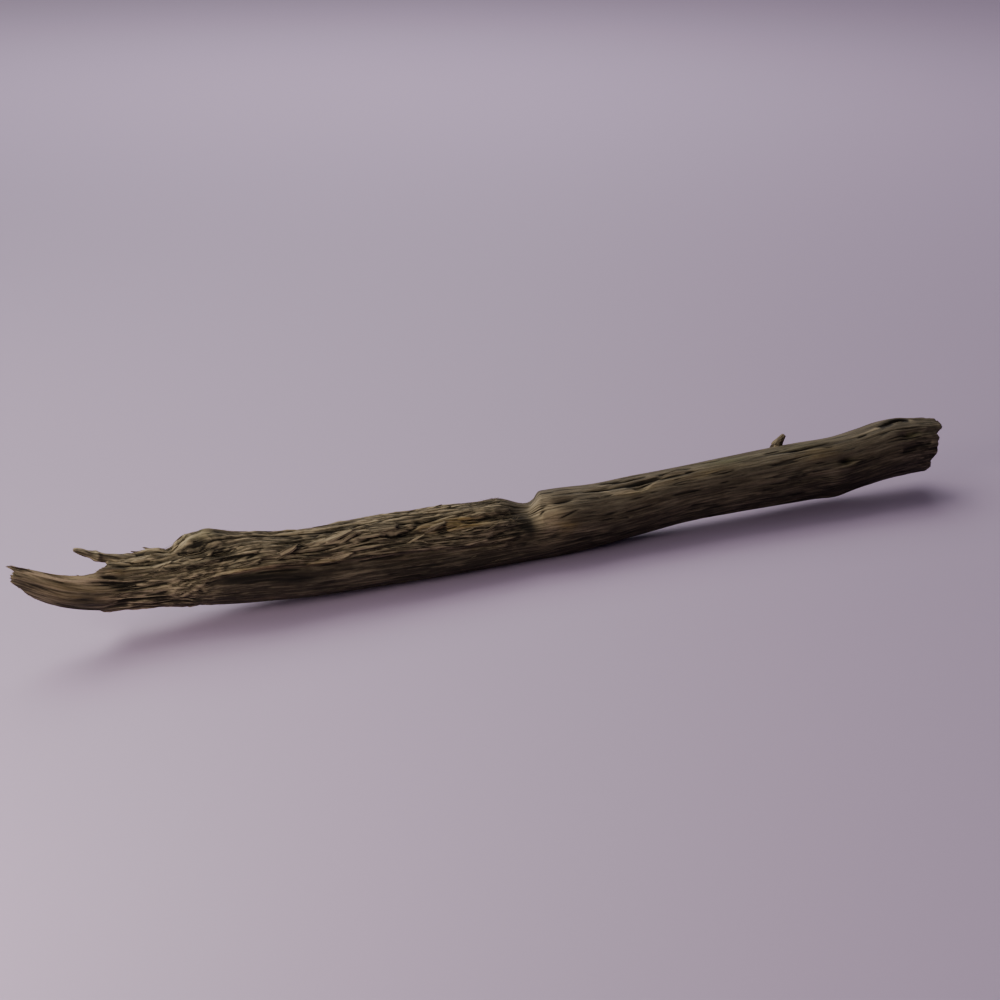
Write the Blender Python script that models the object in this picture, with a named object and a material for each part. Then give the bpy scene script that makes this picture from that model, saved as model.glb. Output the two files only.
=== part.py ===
"""Fallen tree trunk: one weathered length of wood, torn at both ends and rotted along its left half.

The wood is a round, slightly bowed log in grain coordinates: a distance along X, an angle round
the heart (0 faces -Y, 90 is the top) and a share of the radius. Every swelling, hollow, crack and
tear is a formula in those coordinates. Metres, +Z up, standing on Z = 0 with the origin under the
middle of its box.
"""
import math

import bmesh
import bpy
import numpy as np
from mathutils import Vector, noise

# The body between its two breaks: where it starts and ends along X
BODY_LEFT = -1.165
BODY_RIGHT = 1.370
# How far in from each break the grain rows are drawn out to meet the torn rim
LEFT_DRAW = 0.20
RIGHT_DRAW = 0.12

# The bow of the trunk: distance along, height of the heart, radius
BOW = (
    (-1.42, 0.230, 0.060), (-1.35, 0.195, 0.066), (-1.28, 0.162, 0.069), (-1.20, 0.141, 0.070),
    (-1.12, 0.131, 0.067), (-1.02, 0.125, 0.070), (-0.90, 0.124, 0.084), (-0.80, 0.120, 0.092),
    (-0.65, 0.104, 0.090), (-0.48, 0.100, 0.092), (-0.25, 0.094, 0.0925), (-0.07, 0.090, 0.091),
    (0.10, 0.091, 0.092), (0.24, 0.091, 0.086), (0.37, 0.099, 0.082), (0.50, 0.107, 0.078),
    (0.70, 0.111, 0.080), (0.90, 0.114, 0.085), (1.04, 0.117, 0.085), (1.13, 0.128, 0.086),
    (1.20, 0.137, 0.087), (1.27, 0.138, 0.084), (1.36, 0.134, 0.078), (1.42, 0.131, 0.074),
)
GROUND_SINK = 0.004     # how much of the belly is worn flat where the trunk lies

# Torn rims: angle round the trunk, where the outer wood ends along X
LEFT_RIM = (
    (-180, -1.118), (-150, -1.150), (-120, -1.132), (-95, -1.160), (-72, -1.170), (-52, -1.178),
    (-46, -1.200), (-39, -1.252), (-33, -1.318), (-27, -1.350), (-21, -1.384), (-15, -1.402),
    (-3, -1.403), (8, -1.396), (15, -1.386), (21, -1.402), (27, -1.410), (33, -1.338),
    (39, -1.240), (46, -1.202), (56, -1.182), (67, -1.163), (78, -1.156), (92, -1.150),
    (112, -1.142), (132, -1.116), (156, -1.126), (180, -1.118),
)
RIGHT_RIM = (
    (-180, 1.372), (-140, 1.338), (-100, 1.356), (-66, 1.344), (-40, 1.340), (-20, 1.326),
    (-10, 1.348), (20, 1.350), (30, 1.360), (42, 1.354), (55, 1.386), (80, 1.392), (98, 1.392),
    (118, 1.364), (140, 1.386), (165, 1.362), (180, 1.372),
)
# The forked end is a shell of outer wood round a rotted heart
SHELL_INNER = 0.62      # share of the radius where the shell begins
SHELL_EDGE = 0.09       # share over which its inner face drops to the heart
HEART_LEFT = -1.118     # where the rotted heart ends inside the shell
HEART_RIGHT = 1.325     # where the heart ends at the stepped break
HEART_RAGGED = 0.016    # how ragged both hearts are

# Rounded swellings and hollows: along, angle, half length, half angle, height
SWELLINGS = (
    (-0.900, 108, 0.060, 34, 0.022),    # burl on the upper back edge
    (-0.950, 100, 0.026, 30, 0.010),    # steep left shoulder of the burl
    (-0.905, 79, 0.048, 9, 0.009),      # lip of the burl over its hollow
    (-0.930, 62, 0.036, 8, -0.013),     # hollow under the burl
    (-0.868, 54, 0.034, 8, -0.009),     # second hollow beside it
    (-0.998, 108, 0.026, 34, -0.006),   # dip before the burl
    (-0.530, 50, 0.060, 12, 0.004),     # proud ridge on the upper face
    (0.095, 61, 0.036, 8, -0.006),      # lens-shaped pocket beside the notch
    (0.345, 59, 0.026, 7, -0.010),      # hole in the long crack
    (1.022, 27, 0.024, 7, -0.017),      # knot hole
    (0.985, 2, 0.050, 17, 0.011),       # swelling under the knot hole
    (1.010, -62, 0.048, 22, 0.007),     # bump on the underside
    (1.245, 92, 0.050, 16, 0.008),      # raised lip near the right break
    (1.248, 45, 0.022, 8, -0.012),      # dark pocket near the right break
    (0.380, 170, 0.120, 30, 0.007),     # old scar on the far side
    (-0.420, 178, 0.090, 24, -0.010),   # rotted hollow on the far side
)
# Cracks and folds along the grain: along and angle of both ends, half angle, depth
GROOVES = (
    (-1.160, 63, -0.985, 60, 6, 0.006),     # fold under the pale upper strip
    (-1.190, 22, -1.010, 12, 6, 0.006),     # fold behind the long prong
    (-0.450, 47, -0.350, 42, 6, 0.008),     # crack in the middle of the rough face
    (-0.355, 58, -0.270, 70, 6, 0.007),     # crack rising to the top
    (-0.720, 62, -0.560, 74, 6, 0.005),     # fold right of the burl
    (0.190, 74, 0.520, 70, 6, 0.009),       # long open crack on the right half
    (0.760, 77, 1.000, 66, 5, 0.004),       # fine split near the stub
    (1.215, 14, 1.330, 20, 6, 0.006),       # groove near the right break
    (0.620, 10, 1.180, 2, 6, 0.003),        # shallow furrow on the right half
    (-0.200, 140, 0.420, 128, 7, 0.008),    # long split on the far side
    (0.700, -160, 1.200, -150, 7, 0.006),   # split low on the far side
)

# The ledge of rough wood over the smooth flank: along, angle
LEDGE_LINE = ((-0.93, 11), (-0.83, 15), (-0.73, 18), (-0.60, 17), (-0.41, 15), (-0.18, 8), (-0.03, 7))
LEDGE_FADE_IN = 0.05
LEDGE_FADE_OUT = 0.28
LEDGE_LIP = 0.003       # how proud the rough wood stands at its lower edge
LEDGE_DEPTH = 0.011     # how deep the smooth band is cut in under it
LEDGE_BAND = 34         # degrees over which the band comes back out
LEDGE_COLUMN = 15       # the grain line that follows the ledge
LEDGE_PULL = 20

# The notch across the top: along and angle of its valley, from the near side to the far side
NOTCH_LINE = ((-0.016, 5), (-0.012, 30), (-0.006, 64), (0.020, 92), (0.032, 112), (0.045, 150))
NOTCH_DEPTH = ((-8, 0.0), (8, 0.004), (30, 0.013), (60, 0.024), (90, 0.030), (120, 0.028), (165, 0.0))
NOTCH_RAMP = 0.105      # length of its long left slope
NOTCH_WALL = 0.036      # length of its steep right wall

# Furrows of the grain
TWIST = 5.0             # degrees that the grain turns for each metre
FURROW_STRETCH = 9.0    # furrows are this many times longer than wide
COARSE_FURROW = 0.050   # width of the broad furrows
FINE_FURROW = 0.024     # width of the narrow ones
ROUGH_RELIEF = 0.0085   # their height where the wood is rotted
SOUND_RELIEF = 0.0042   # and where it is sound

# The thin upper prong of the forked end and the twig stub: points along them with their radii
UPPER_PRONG = (
    (-1.085, 0.010, 0.180, 0.012), (-1.130, 0.008, 0.191, 0.010), (-1.160, 0.006, 0.203, 0.0090),
    (-1.190, 0.003, 0.214, 0.0088), (-1.212, 0.001, 0.226, 0.0060), (-1.233, 0.000, 0.236, 0.0028),
)
UPPER_PRONG_FLAT = 1.7  # times wider than thick
UPPER_PRONG_SIDES = 7
TWIG_STUB = (
    (0.838, 0.028, 0.158, 0.0150), (0.843, 0.034, 0.180, 0.0130), (0.852, 0.038, 0.194, 0.0095),
    (0.863, 0.040, 0.206, 0.0080), (0.870, 0.041, 0.214, 0.0045),
)
TWIG_SIDES = 8

# Slivers torn loose at one end: along, angle, length, thickness, turn from the grain, lift
SLIVERS = (
    (-0.765, 28, 0.090, 0.0090, 22, 7),
    (-0.610, 21, 0.080, 0.0080, 6, 6),
    (-0.385, 27, 0.060, 0.0070, 18, 8),
    (-0.980, 104, 0.100, 0.0110, 176, 9),
    (-0.300, 150, 0.090, 0.0080, 8, 7),
    (0.500, 138, 0.080, 0.0070, 176, 6),
)
SLIVER_SIDES = 5
SLIVER_SINK = 0.006     # how deep the root of a sliver sits in the wood

# How finely the wood is divided
COLUMNS = 60
ROWS_PER_METRE = 19.0
# Places that need closer rows: along, half length, extra rows for each metre
CLOSE_ROWS = (
    (-1.07, 0.10, 34.0), (-0.90, 0.08, 24.0), (0.01, 0.07, 46.0), (1.02, 0.06, 34.0), (1.31, 0.08, 20.0),
)
LEFT_CAP_SHARES = (0.90, 0.80, 0.71, 0.68, 0.65, 0.62, 0.48, 0.34, 0.18)
RIGHT_CAP_SHARES = (0.86, 0.66, 0.44, 0.22)

WOOD_COLOUR = (0.155, 0.118, 0.082, 1.0)
WOOD_ROUGHNESS = 0.88
SHARP_ANGLE = 40


def smooth(low, high, value):
    """Rise from 0 to 1 between two values, level at both ends."""
    share = min(1.0, max(0.0, (value - low) / (high - low)))
    return share * share * (3.0 - 2.0 * share)


def wrapped(angle):
    """The same angle between -180 and 180 degrees."""
    return (angle + 180.0) % 360.0 - 180.0


def straight(points, value):
    """Read a broken line at a value."""
    places, heights = zip(*points)
    return float(np.interp(value, places, heights))


def flowing(points, value, item=1):
    """Read a smooth curve through the points of a table at a value."""
    places = [point[0] for point in points]
    heights = [point[item] for point in points]
    value = min(places[-1], max(places[0], value))
    left = min(len(places) - 2, max(0, int(np.searchsorted(places, value)) - 1))
    before, after = max(0, left - 1), min(len(places) - 1, left + 2)
    step = places[left + 1] - places[left]
    slope_in = (heights[left + 1] - heights[before]) / (places[left + 1] - places[before]) * step
    slope_out = (heights[after] - heights[left]) / (places[after] - places[left]) * step
    share = (value - places[left]) / step
    rest = 1.0 - share
    return (heights[left] * (1.0 + 2.0 * share) * rest * rest + slope_in * share * rest * rest
            + heights[left + 1] * share * share * (3.0 - 2.0 * share) - slope_out * share * share * rest)


def heart(along):
    """Height of the heart and radius of the trunk at a distance along it."""
    return flowing(BOW, along, 1) - GROUND_SINK, flowing(BOW, along, 2)


def roughness(along, angle):
    """How rotted the wood is: 1 on the rough left half, low on the sound right half and flank."""
    rotted = 1.0 - smooth(-0.12, 0.02, along)
    flank = smooth(-0.96, -0.88, along) * smooth(2.0, -12.0, angle) * smooth(-150.0, -110.0, angle)
    breaks = smooth(1.20, 1.36, along)
    return max(rotted * (1.0 - 0.85 * flank), 0.45 * breaks)


def furrows(along, column):
    """Long ridges and furrows of the grain, sharper and deeper where the wood is rotted."""
    turn = math.radians(column)
    height, radius = heart(along)
    rough = roughness(along, wrapped(column))
    ring = Vector((radius * math.cos(turn), radius * math.sin(turn), 0.0))
    coarse = noise.noise(ring / COARSE_FURROW + Vector((3.1, 7.7, along / (COARSE_FURROW * FURROW_STRETCH))))
    fine = noise.noise(ring / FINE_FURROW + Vector((9.4, 1.3, along / (FINE_FURROW * FURROW_STRETCH))))
    ridged = 0.75 - 2.2 * abs(fine)
    relief = SOUND_RELIEF + (ROUGH_RELIEF - SOUND_RELIEF) * rough
    return relief * (coarse + 0.55 * ((1.0 - rough) * fine * 1.4 + rough * ridged))


def swellings(along, angle):
    """Sum of the rounded swellings and hollows."""
    total = 0.0
    for place, turn, half_length, half_angle, height in SWELLINGS:
        far = ((along - place) / half_length) ** 2 + (wrapped(angle - turn) / half_angle) ** 2
        total += height * math.exp(-far)
    return total


def grooves(along, angle):
    """Depth of the cracks and folds, each tapering out at both ends."""
    total = 0.0
    for start, start_angle, end, end_angle, half_angle, depth in GROOVES:
        share = (along - start) / (end - start)
        if 0.0 < share < 1.0:
            aside = wrapped(angle - (start_angle + (end_angle - start_angle) * share)) / half_angle
            total -= depth * math.sin(math.pi * share) ** 0.5 * math.exp(-aside * aside)
    return total


def ledge_strength(along):
    """How much of the ledge there is at a distance along."""
    start, end = LEDGE_LINE[0][0], LEDGE_LINE[-1][0]
    return smooth(start - LEDGE_FADE_IN, start + LEDGE_FADE_IN, along) * smooth(end, end - LEDGE_FADE_OUT, along)


def ledge(along, angle):
    """The lip of the rough wood, and the smooth band that is cut in under it."""
    below = flowing(LEDGE_LINE, along) - wrapped(angle)
    if below < 0.0:
        return LEDGE_LIP * math.exp(below / 14.0) * ledge_strength(along)
    band = smooth(0.0, 5.0, below) * smooth(LEDGE_BAND, 5.0, below)
    return (LEDGE_LIP * (1.0 - smooth(0.0, 4.0, below)) - LEDGE_DEPTH * band) * ledge_strength(along)


def notch(along, angle):
    """The cut across the top: a long slope on its left and a steep wall on its right."""
    turn = wrapped(angle)
    aside = along - straight([(item[1], item[0]) for item in NOTCH_LINE], turn)
    share = 1.0 - abs(aside) / (NOTCH_RAMP if aside < 0.0 else NOTCH_WALL)
    return -straight(NOTCH_DEPTH, turn) * smooth(0.0, 1.0, share)


def grain_angle(along, column):
    """Angle of a grain line, which turns slowly along the trunk and follows the ledge."""
    pull = math.exp(-(wrapped(column - LEDGE_COLUMN) / LEDGE_PULL) ** 2) * ledge_strength(along)
    return column + TWIST * along + pull * (flowing(LEDGE_LINE, along) - LEDGE_COLUMN - TWIST * along)


def reach(along, column, angle):
    """Distance of the surface from the heart."""
    relief = furrows(along, column) + swellings(along, angle) + grooves(along, angle)
    return heart(along)[1] + relief + ledge(along, angle) + notch(along, angle)


def wood_point(along, column, share=1.0):
    """Place of a point of the wood, laid flat where the belly meets the ground."""
    angle = grain_angle(along, column)
    turn = math.radians(angle)
    height = heart(along)[0]
    distance = share * reach(along, column, angle)
    return Vector((along, -distance * math.cos(turn), max(0.0, height + distance * math.sin(turn))))


def left_tear(angle, share):
    """Where the wood ends at the forked left end: a long shell in front of a rotted heart."""
    shell = smooth(SHELL_INNER, SHELL_INNER + SHELL_EDGE, share)
    turn = math.radians(angle)
    spot = Vector((share * math.cos(turn) * 3.1, share * math.sin(turn) * 3.1, 5.0))
    inner = HEART_LEFT + HEART_RAGGED * noise.noise(spot) - 0.02 * share
    return inner + (straight(LEFT_RIM, wrapped(angle)) - inner) * shell


def right_tear(angle, share):
    """Where the wood ends at the stepped right end."""
    turn = math.radians(angle)
    spot = Vector((share * math.cos(turn) * 2.7, share * math.sin(turn) * 2.7, 11.0))
    inner = HEART_RIGHT + 1.6 * HEART_RAGGED * noise.noise(spot)
    return inner + (straight(RIGHT_RIM, wrapped(angle)) - inner) * smooth(0.25, 0.95, share)


def drawn_out(along, angle, share):
    """Draw a row near a break out to the torn rim."""
    left = smooth(BODY_LEFT + LEFT_DRAW, BODY_LEFT, along)
    right = smooth(BODY_RIGHT - RIGHT_DRAW, BODY_RIGHT, along)
    return (along + left * (left_tear(angle, share) - BODY_LEFT)
            + right * (right_tear(angle, share) - BODY_RIGHT))


def row_places():
    """Distances along of the rows, closer together where the form changes fast."""
    fine = np.linspace(BODY_LEFT, BODY_RIGHT, 2001)
    density = np.full_like(fine, ROWS_PER_METRE)
    for place, half_length, extra in CLOSE_ROWS:
        density += extra * np.exp(-((fine - place) / half_length) ** 2)
    count = np.concatenate(([0.0], np.cumsum(0.5 * (density[1:] + density[:-1]) * np.diff(fine))))
    rows = int(round(count[-1]))
    return np.interp(np.linspace(0.0, count[-1], rows + 1), count, fine)


def ringed_cap(mesh, cap, shares):
    """Divide an end face into rings at the given shares of the radius, and close its middle."""
    apothem = math.cos(math.pi / COLUMNS)
    last = 1.0
    for share in shares:
        bmesh.ops.inset_individual(mesh, faces=[cap], thickness=(last - share) * apothem, use_even_offset=True)
        last = share
    bmesh.ops.poke(mesh, faces=[cap])


def log_mesh():
    """A log of unit radius along Z, from 0 to the number of rows, with ringed ends."""
    places = row_places()
    rows = len(places) - 1
    mesh = bmesh.new()
    bmesh.ops.create_cone(mesh, cap_ends=True, segments=COLUMNS, radius1=1.0, radius2=1.0, depth=1.0)
    uprights = [edge for edge in mesh.edges if abs(edge.verts[0].co.z - edge.verts[1].co.z) > 0.5]
    bmesh.ops.subdivide_edges(mesh, edges=uprights, cuts=rows - 1, use_grid_fill=True)
    caps = [face for face in mesh.faces if len(face.verts) == COLUMNS]
    left, right = sorted(caps, key=lambda face: face.calc_center_median().z)
    ringed_cap(mesh, left, LEFT_CAP_SHARES)
    ringed_cap(mesh, right, RIGHT_CAP_SHARES)
    return mesh, places


def shaped_log():
    """The log with every point moved to its place in the wood."""
    mesh, places = log_mesh()
    rows = len(places) - 1
    for vertex in mesh.verts:
        share = min(1.0, math.hypot(vertex.co.x, vertex.co.y))
        column = math.degrees(math.atan2(vertex.co.y, vertex.co.x)) if share > 1e-4 else 0.0
        along = float(np.interp((vertex.co.z + 0.5) * rows, range(rows + 1), places))
        place = drawn_out(along, grain_angle(along, column), share)
        vertex.co = wood_point(place, column, share)
    return mesh


def tapered_branch(name, points, sides, flat=1.0):
    """A closed tapering stick through points that carry their radii."""
    mesh = bmesh.new()
    bmesh.ops.create_cone(mesh, cap_ends=True, segments=sides, radius1=1.0, radius2=1.0, depth=1.0)
    uprights = [edge for edge in mesh.edges if abs(edge.verts[0].co.z - edge.verts[1].co.z) > 0.5]
    bmesh.ops.subdivide_edges(mesh, edges=uprights, cuts=len(points) - 2, use_grid_fill=True)
    centres = [Vector(point[:3]) for point in points]
    for vertex in mesh.verts:
        step = round((vertex.co.z + 0.5) * (len(points) - 1))
        ahead = centres[min(step + 1, len(points) - 1)] - centres[max(step - 1, 0)]
        side = ahead.cross(Vector((0.0, 0.0, 1.0)) if abs(ahead.z) < 0.8 * ahead.length else Vector((0.0, 1.0, 0.0)))
        across = side.normalized()
        outward = across.cross(ahead).normalized()
        radius = points[step][3]
        vertex.co = centres[step] + across * (vertex.co.x * radius * flat) + outward * (vertex.co.y * radius)
    return solid_object(name, mesh)


def sliver(name, along, column, length, thickness, turn, lift):
    """A thin splinter that leaves the surface at its root and rises to a point."""
    root = wood_point(along, column)
    round_way = (wood_point(along, column + 4.0) - wood_point(along, column - 4.0)).normalized()
    long_way = (wood_point(along + 0.02, column) - wood_point(along - 0.02, column)).normalized()
    outward = long_way.cross(round_way).normalized()
    if outward.dot(root - Vector((along, 0.0, heart(along)[0]))) < 0.0:
        outward.negate()
    heading = long_way * math.cos(math.radians(turn)) + round_way * math.sin(math.radians(turn))
    rise = math.tan(math.radians(lift)) * length
    points = []
    for share, width in ((0.0, 1.0), (0.35, 0.9), (0.7, 0.65), (1.0, 0.25)):
        place = root + heading * (length * share) + outward * (rise * share - SLIVER_SINK * (1.0 - share))
        points.append((*place, 0.5 * thickness * width))
    return tapered_branch(name, points, SLIVER_SIDES, 1.6)


def solid_object(name, mesh):
    """Turn a mesh being built into an object with its faces pointing out."""
    bmesh.ops.recalc_face_normals(mesh, faces=mesh.faces[:])
    data = bpy.data.meshes.new(name)
    mesh.to_mesh(data)
    mesh.free()
    return bpy.data.objects.new(name, data)


def wood_material():
    """Dry grey-brown weathered wood."""
    material = bpy.data.materials.new("weathered_wood")
    material.use_nodes = True
    shader = material.node_tree.nodes["Principled BSDF"]
    shader.inputs["Base Color"].default_value = WOOD_COLOUR
    shader.inputs["Roughness"].default_value = WOOD_ROUGHNESS
    shader.inputs["Metallic"].default_value = 0.0
    return material


def gather(name):
    """A new collection in the scene."""
    collection = bpy.data.collections.new(name)
    bpy.context.scene.collection.children.link(collection)
    return collection


def joined(trunk, growths, collection):
    """Fuse the prong, the stub and the slivers into the trunk with one union, applied at once."""
    for growth in growths:
        growth.hide_render = True
        growth.display_type = "WIRE"
        collection.objects.link(growth)
    union = trunk.modifiers.new("grown_together", "BOOLEAN")
    union.operation = "UNION"
    union.operand_type = "COLLECTION"
    union.collection = collection
    bpy.context.view_layer.update()
    whole = bpy.data.meshes.new_from_object(trunk.evaluated_get(bpy.context.evaluated_depsgraph_get()))
    trunk.modifiers.clear()
    trunk.data = whole
    for growth in growths:
        bpy.data.objects.remove(growth)


def stand_on_origin(trunk):
    """Move the mesh so that the origin lies under the middle of its box, on the ground."""
    corners = [vertex.co for vertex in trunk.data.vertices]
    low = Vector([min(corner[axis] for corner in corners) for axis in range(3)])
    high = Vector([max(corner[axis] for corner in corners) for axis in range(3)])
    middle = (low + high) / 2.0
    shift = Vector((middle.x, middle.y, low.z))
    for vertex in trunk.data.vertices:
        vertex.co -= shift


def main():
    """Build the trunk."""
    for item in list(bpy.data.objects):
        bpy.data.objects.remove(item)
    wood = gather("fallen_tree_trunk")
    growths = gather("growths")
    trunk = solid_object("trunk", shaped_log())
    wood.objects.link(trunk)
    sticks = [tapered_branch("upper_prong", UPPER_PRONG, UPPER_PRONG_SIDES, UPPER_PRONG_FLAT)]
    sticks.append(tapered_branch("twig_stub", TWIG_STUB, TWIG_SIDES))
    sticks.extend(sliver(f"sliver_{number}", *sizes) for number, sizes in enumerate(SLIVERS, 1))
    joined(trunk, sticks, growths)
    stand_on_origin(trunk)
    trunk.data.materials.clear()
    trunk.data.materials.append(wood_material())
    trunk.data.shade_smooth()
    trunk.data.set_sharp_from_angle(angle=math.radians(SHARP_ANGLE))


if __name__ == "__main__":
    main()
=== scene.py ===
"""Dresses the fallen tree trunk: finer torn wood, loose fibres, and the studio round it.

The wood is laid out in grain coordinates, as in the part's source: a distance along X, an angle
round the heart (0 faces -Y, 90 is the top) and a share of the radius. Metres, +Z up.
"""
import logging
import math
from collections.abc import Sequence
from dataclasses import dataclass, field
from enum import Enum

import bmesh
import bpy
import numpy as np
from mathutils import Matrix, Vector, noise


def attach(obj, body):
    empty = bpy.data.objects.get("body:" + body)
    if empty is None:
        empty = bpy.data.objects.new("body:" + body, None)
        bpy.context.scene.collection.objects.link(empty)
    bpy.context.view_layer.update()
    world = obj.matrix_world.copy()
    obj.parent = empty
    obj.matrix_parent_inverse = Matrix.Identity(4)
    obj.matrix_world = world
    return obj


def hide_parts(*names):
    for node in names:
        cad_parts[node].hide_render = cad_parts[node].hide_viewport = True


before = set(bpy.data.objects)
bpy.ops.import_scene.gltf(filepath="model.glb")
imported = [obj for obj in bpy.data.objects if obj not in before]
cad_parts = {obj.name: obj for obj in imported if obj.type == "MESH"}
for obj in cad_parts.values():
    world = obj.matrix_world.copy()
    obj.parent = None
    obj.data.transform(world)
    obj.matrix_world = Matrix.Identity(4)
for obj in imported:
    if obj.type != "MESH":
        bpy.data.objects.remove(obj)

LOG = logging.getLogger("trunk")
BODY = "root"
NODE = "trunk"
FORM_TO_FRAME = np.array((0.0071, -0.0030, 0.0))    # where the form's axes stand in the frame
LEVEL = 1e-4            # how level an end face is
ON_SIDE = 0.999         # share of the radius from which a point is on the side, not on an end
TOP = 90.0              # angle of the top of the trunk

Place = tuple[float, float, float]
Table = Sequence[tuple[float, ...]]
Patterns = Sequence[tuple["Pattern", float]]


def smooth(low: float | np.ndarray, high: float | np.ndarray, value: np.ndarray) -> np.ndarray:
    """Rise from 0 to 1 between two values, level at both ends.

    Args:
        low: value where the rise starts; it may be the larger one.
        high: value where the rise ends.
        value: values to read.

    Returns:
        Shares from 0 to 1.
    """
    share = np.clip((value - low) / (high - low), 0.0, 1.0)
    return share * share * (3.0 - 2.0 * share)


def wrapped(angle: np.ndarray) -> np.ndarray:
    """Give the same angles between -180 and 180 degrees."""
    return (angle + 180.0) % 360.0 - 180.0


def bell(value: np.ndarray, middle: float, half: float) -> np.ndarray:
    """Give a soft bump of height 1 round a middle value."""
    return np.exp(-((value - middle) / half) ** 2)


def straight(points: Table, value: np.ndarray) -> np.ndarray:
    """Read a broken line at some values."""
    places, heights = zip(*points)
    return np.interp(value, places, heights)


def flowing(points: Table, value: np.ndarray, item: int = 1) -> np.ndarray:
    """Read a smooth curve through the points of a table.

    Args:
        points: rows of a place and one or more heights.
        value: places to read.
        item: which height of a row is read.

    Returns:
        The heights at those places.
    """
    table = np.array(points)
    places, heights = table[:, 0], table[:, item]
    value = np.clip(value, places[0], places[-1])
    left = np.clip(np.searchsorted(places, value) - 1, 0, len(places) - 2)
    before, after = np.maximum(0, left - 1), np.minimum(len(places) - 1, left + 2)
    step = places[left + 1] - places[left]
    slope_in = (heights[left + 1] - heights[before]) / (places[left + 1] - places[before]) * step
    slope_out = (heights[after] - heights[left]) / (places[after] - places[left]) * step
    share = (value - places[left]) / step
    rest = 1.0 - share
    return (heights[left] * (1.0 + 2.0 * share) * rest * rest + slope_in * share * rest * rest
            + heights[left + 1] * share * share * (3.0 - 2.0 * share) - slope_out * share * share * rest)


def speckle(x: np.ndarray, y: np.ndarray, z: np.ndarray) -> np.ndarray:
    """Read smooth random values.

    Args:
        x: first coordinates of the places.
        y: second coordinates.
        z: third coordinates.

    Returns:
        Values between about -1 and 1.
    """
    places = np.stack(np.broadcast_arrays(x, y, z), axis=-1)
    flat = [noise.noise(place) for place in places.reshape(-1, 3).tolist()]
    return np.array(flat).reshape(places.shape[:-1])


def soft_spots(sizes: Table, along: np.ndarray, angle: np.ndarray) -> np.ndarray:
    """Sum soft round spots on the surface.

    Args:
        sizes: along, angle, half length, half angle and height of each.
        along: distances along.
        angle: angles round the heart.

    Returns:
        Their summed heights.
    """
    total = np.zeros_like(along)
    for place, turn, half_length, half_angle, height in sizes:
        far = ((along - place) / half_length) ** 2 + (wrapped(angle - turn) / half_angle) ** 2
        total += height * np.exp(-far)
    return total


def upward_facing(angle: np.ndarray, share: np.ndarray | float = 1.0) -> np.ndarray:
    """Tell how far places face up, which sets the painted shade underneath and the grey top that is partly
    painted light.

    Args:
        angle: angles round the heart.
        share: shares of the radius; the heart of an end face takes a middle value.

    Returns:
        Shares from 0 to 1.
    """
    upward = share * (TOP - np.abs(wrapped(angle - TOP))) + 20.0 * (1.0 - share)
    return smooth(-40.0, 70.0, upward)


@dataclass(frozen=True)
class Pattern:
    """Random furrows or lumps that are drawn out along the grain."""

    width: float                                # of one furrow, in metres
    stretch: float                              # how many times longer than wide it is
    offset: tuple[float, float] = (3.1, 7.7)    # picks another pattern


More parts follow.
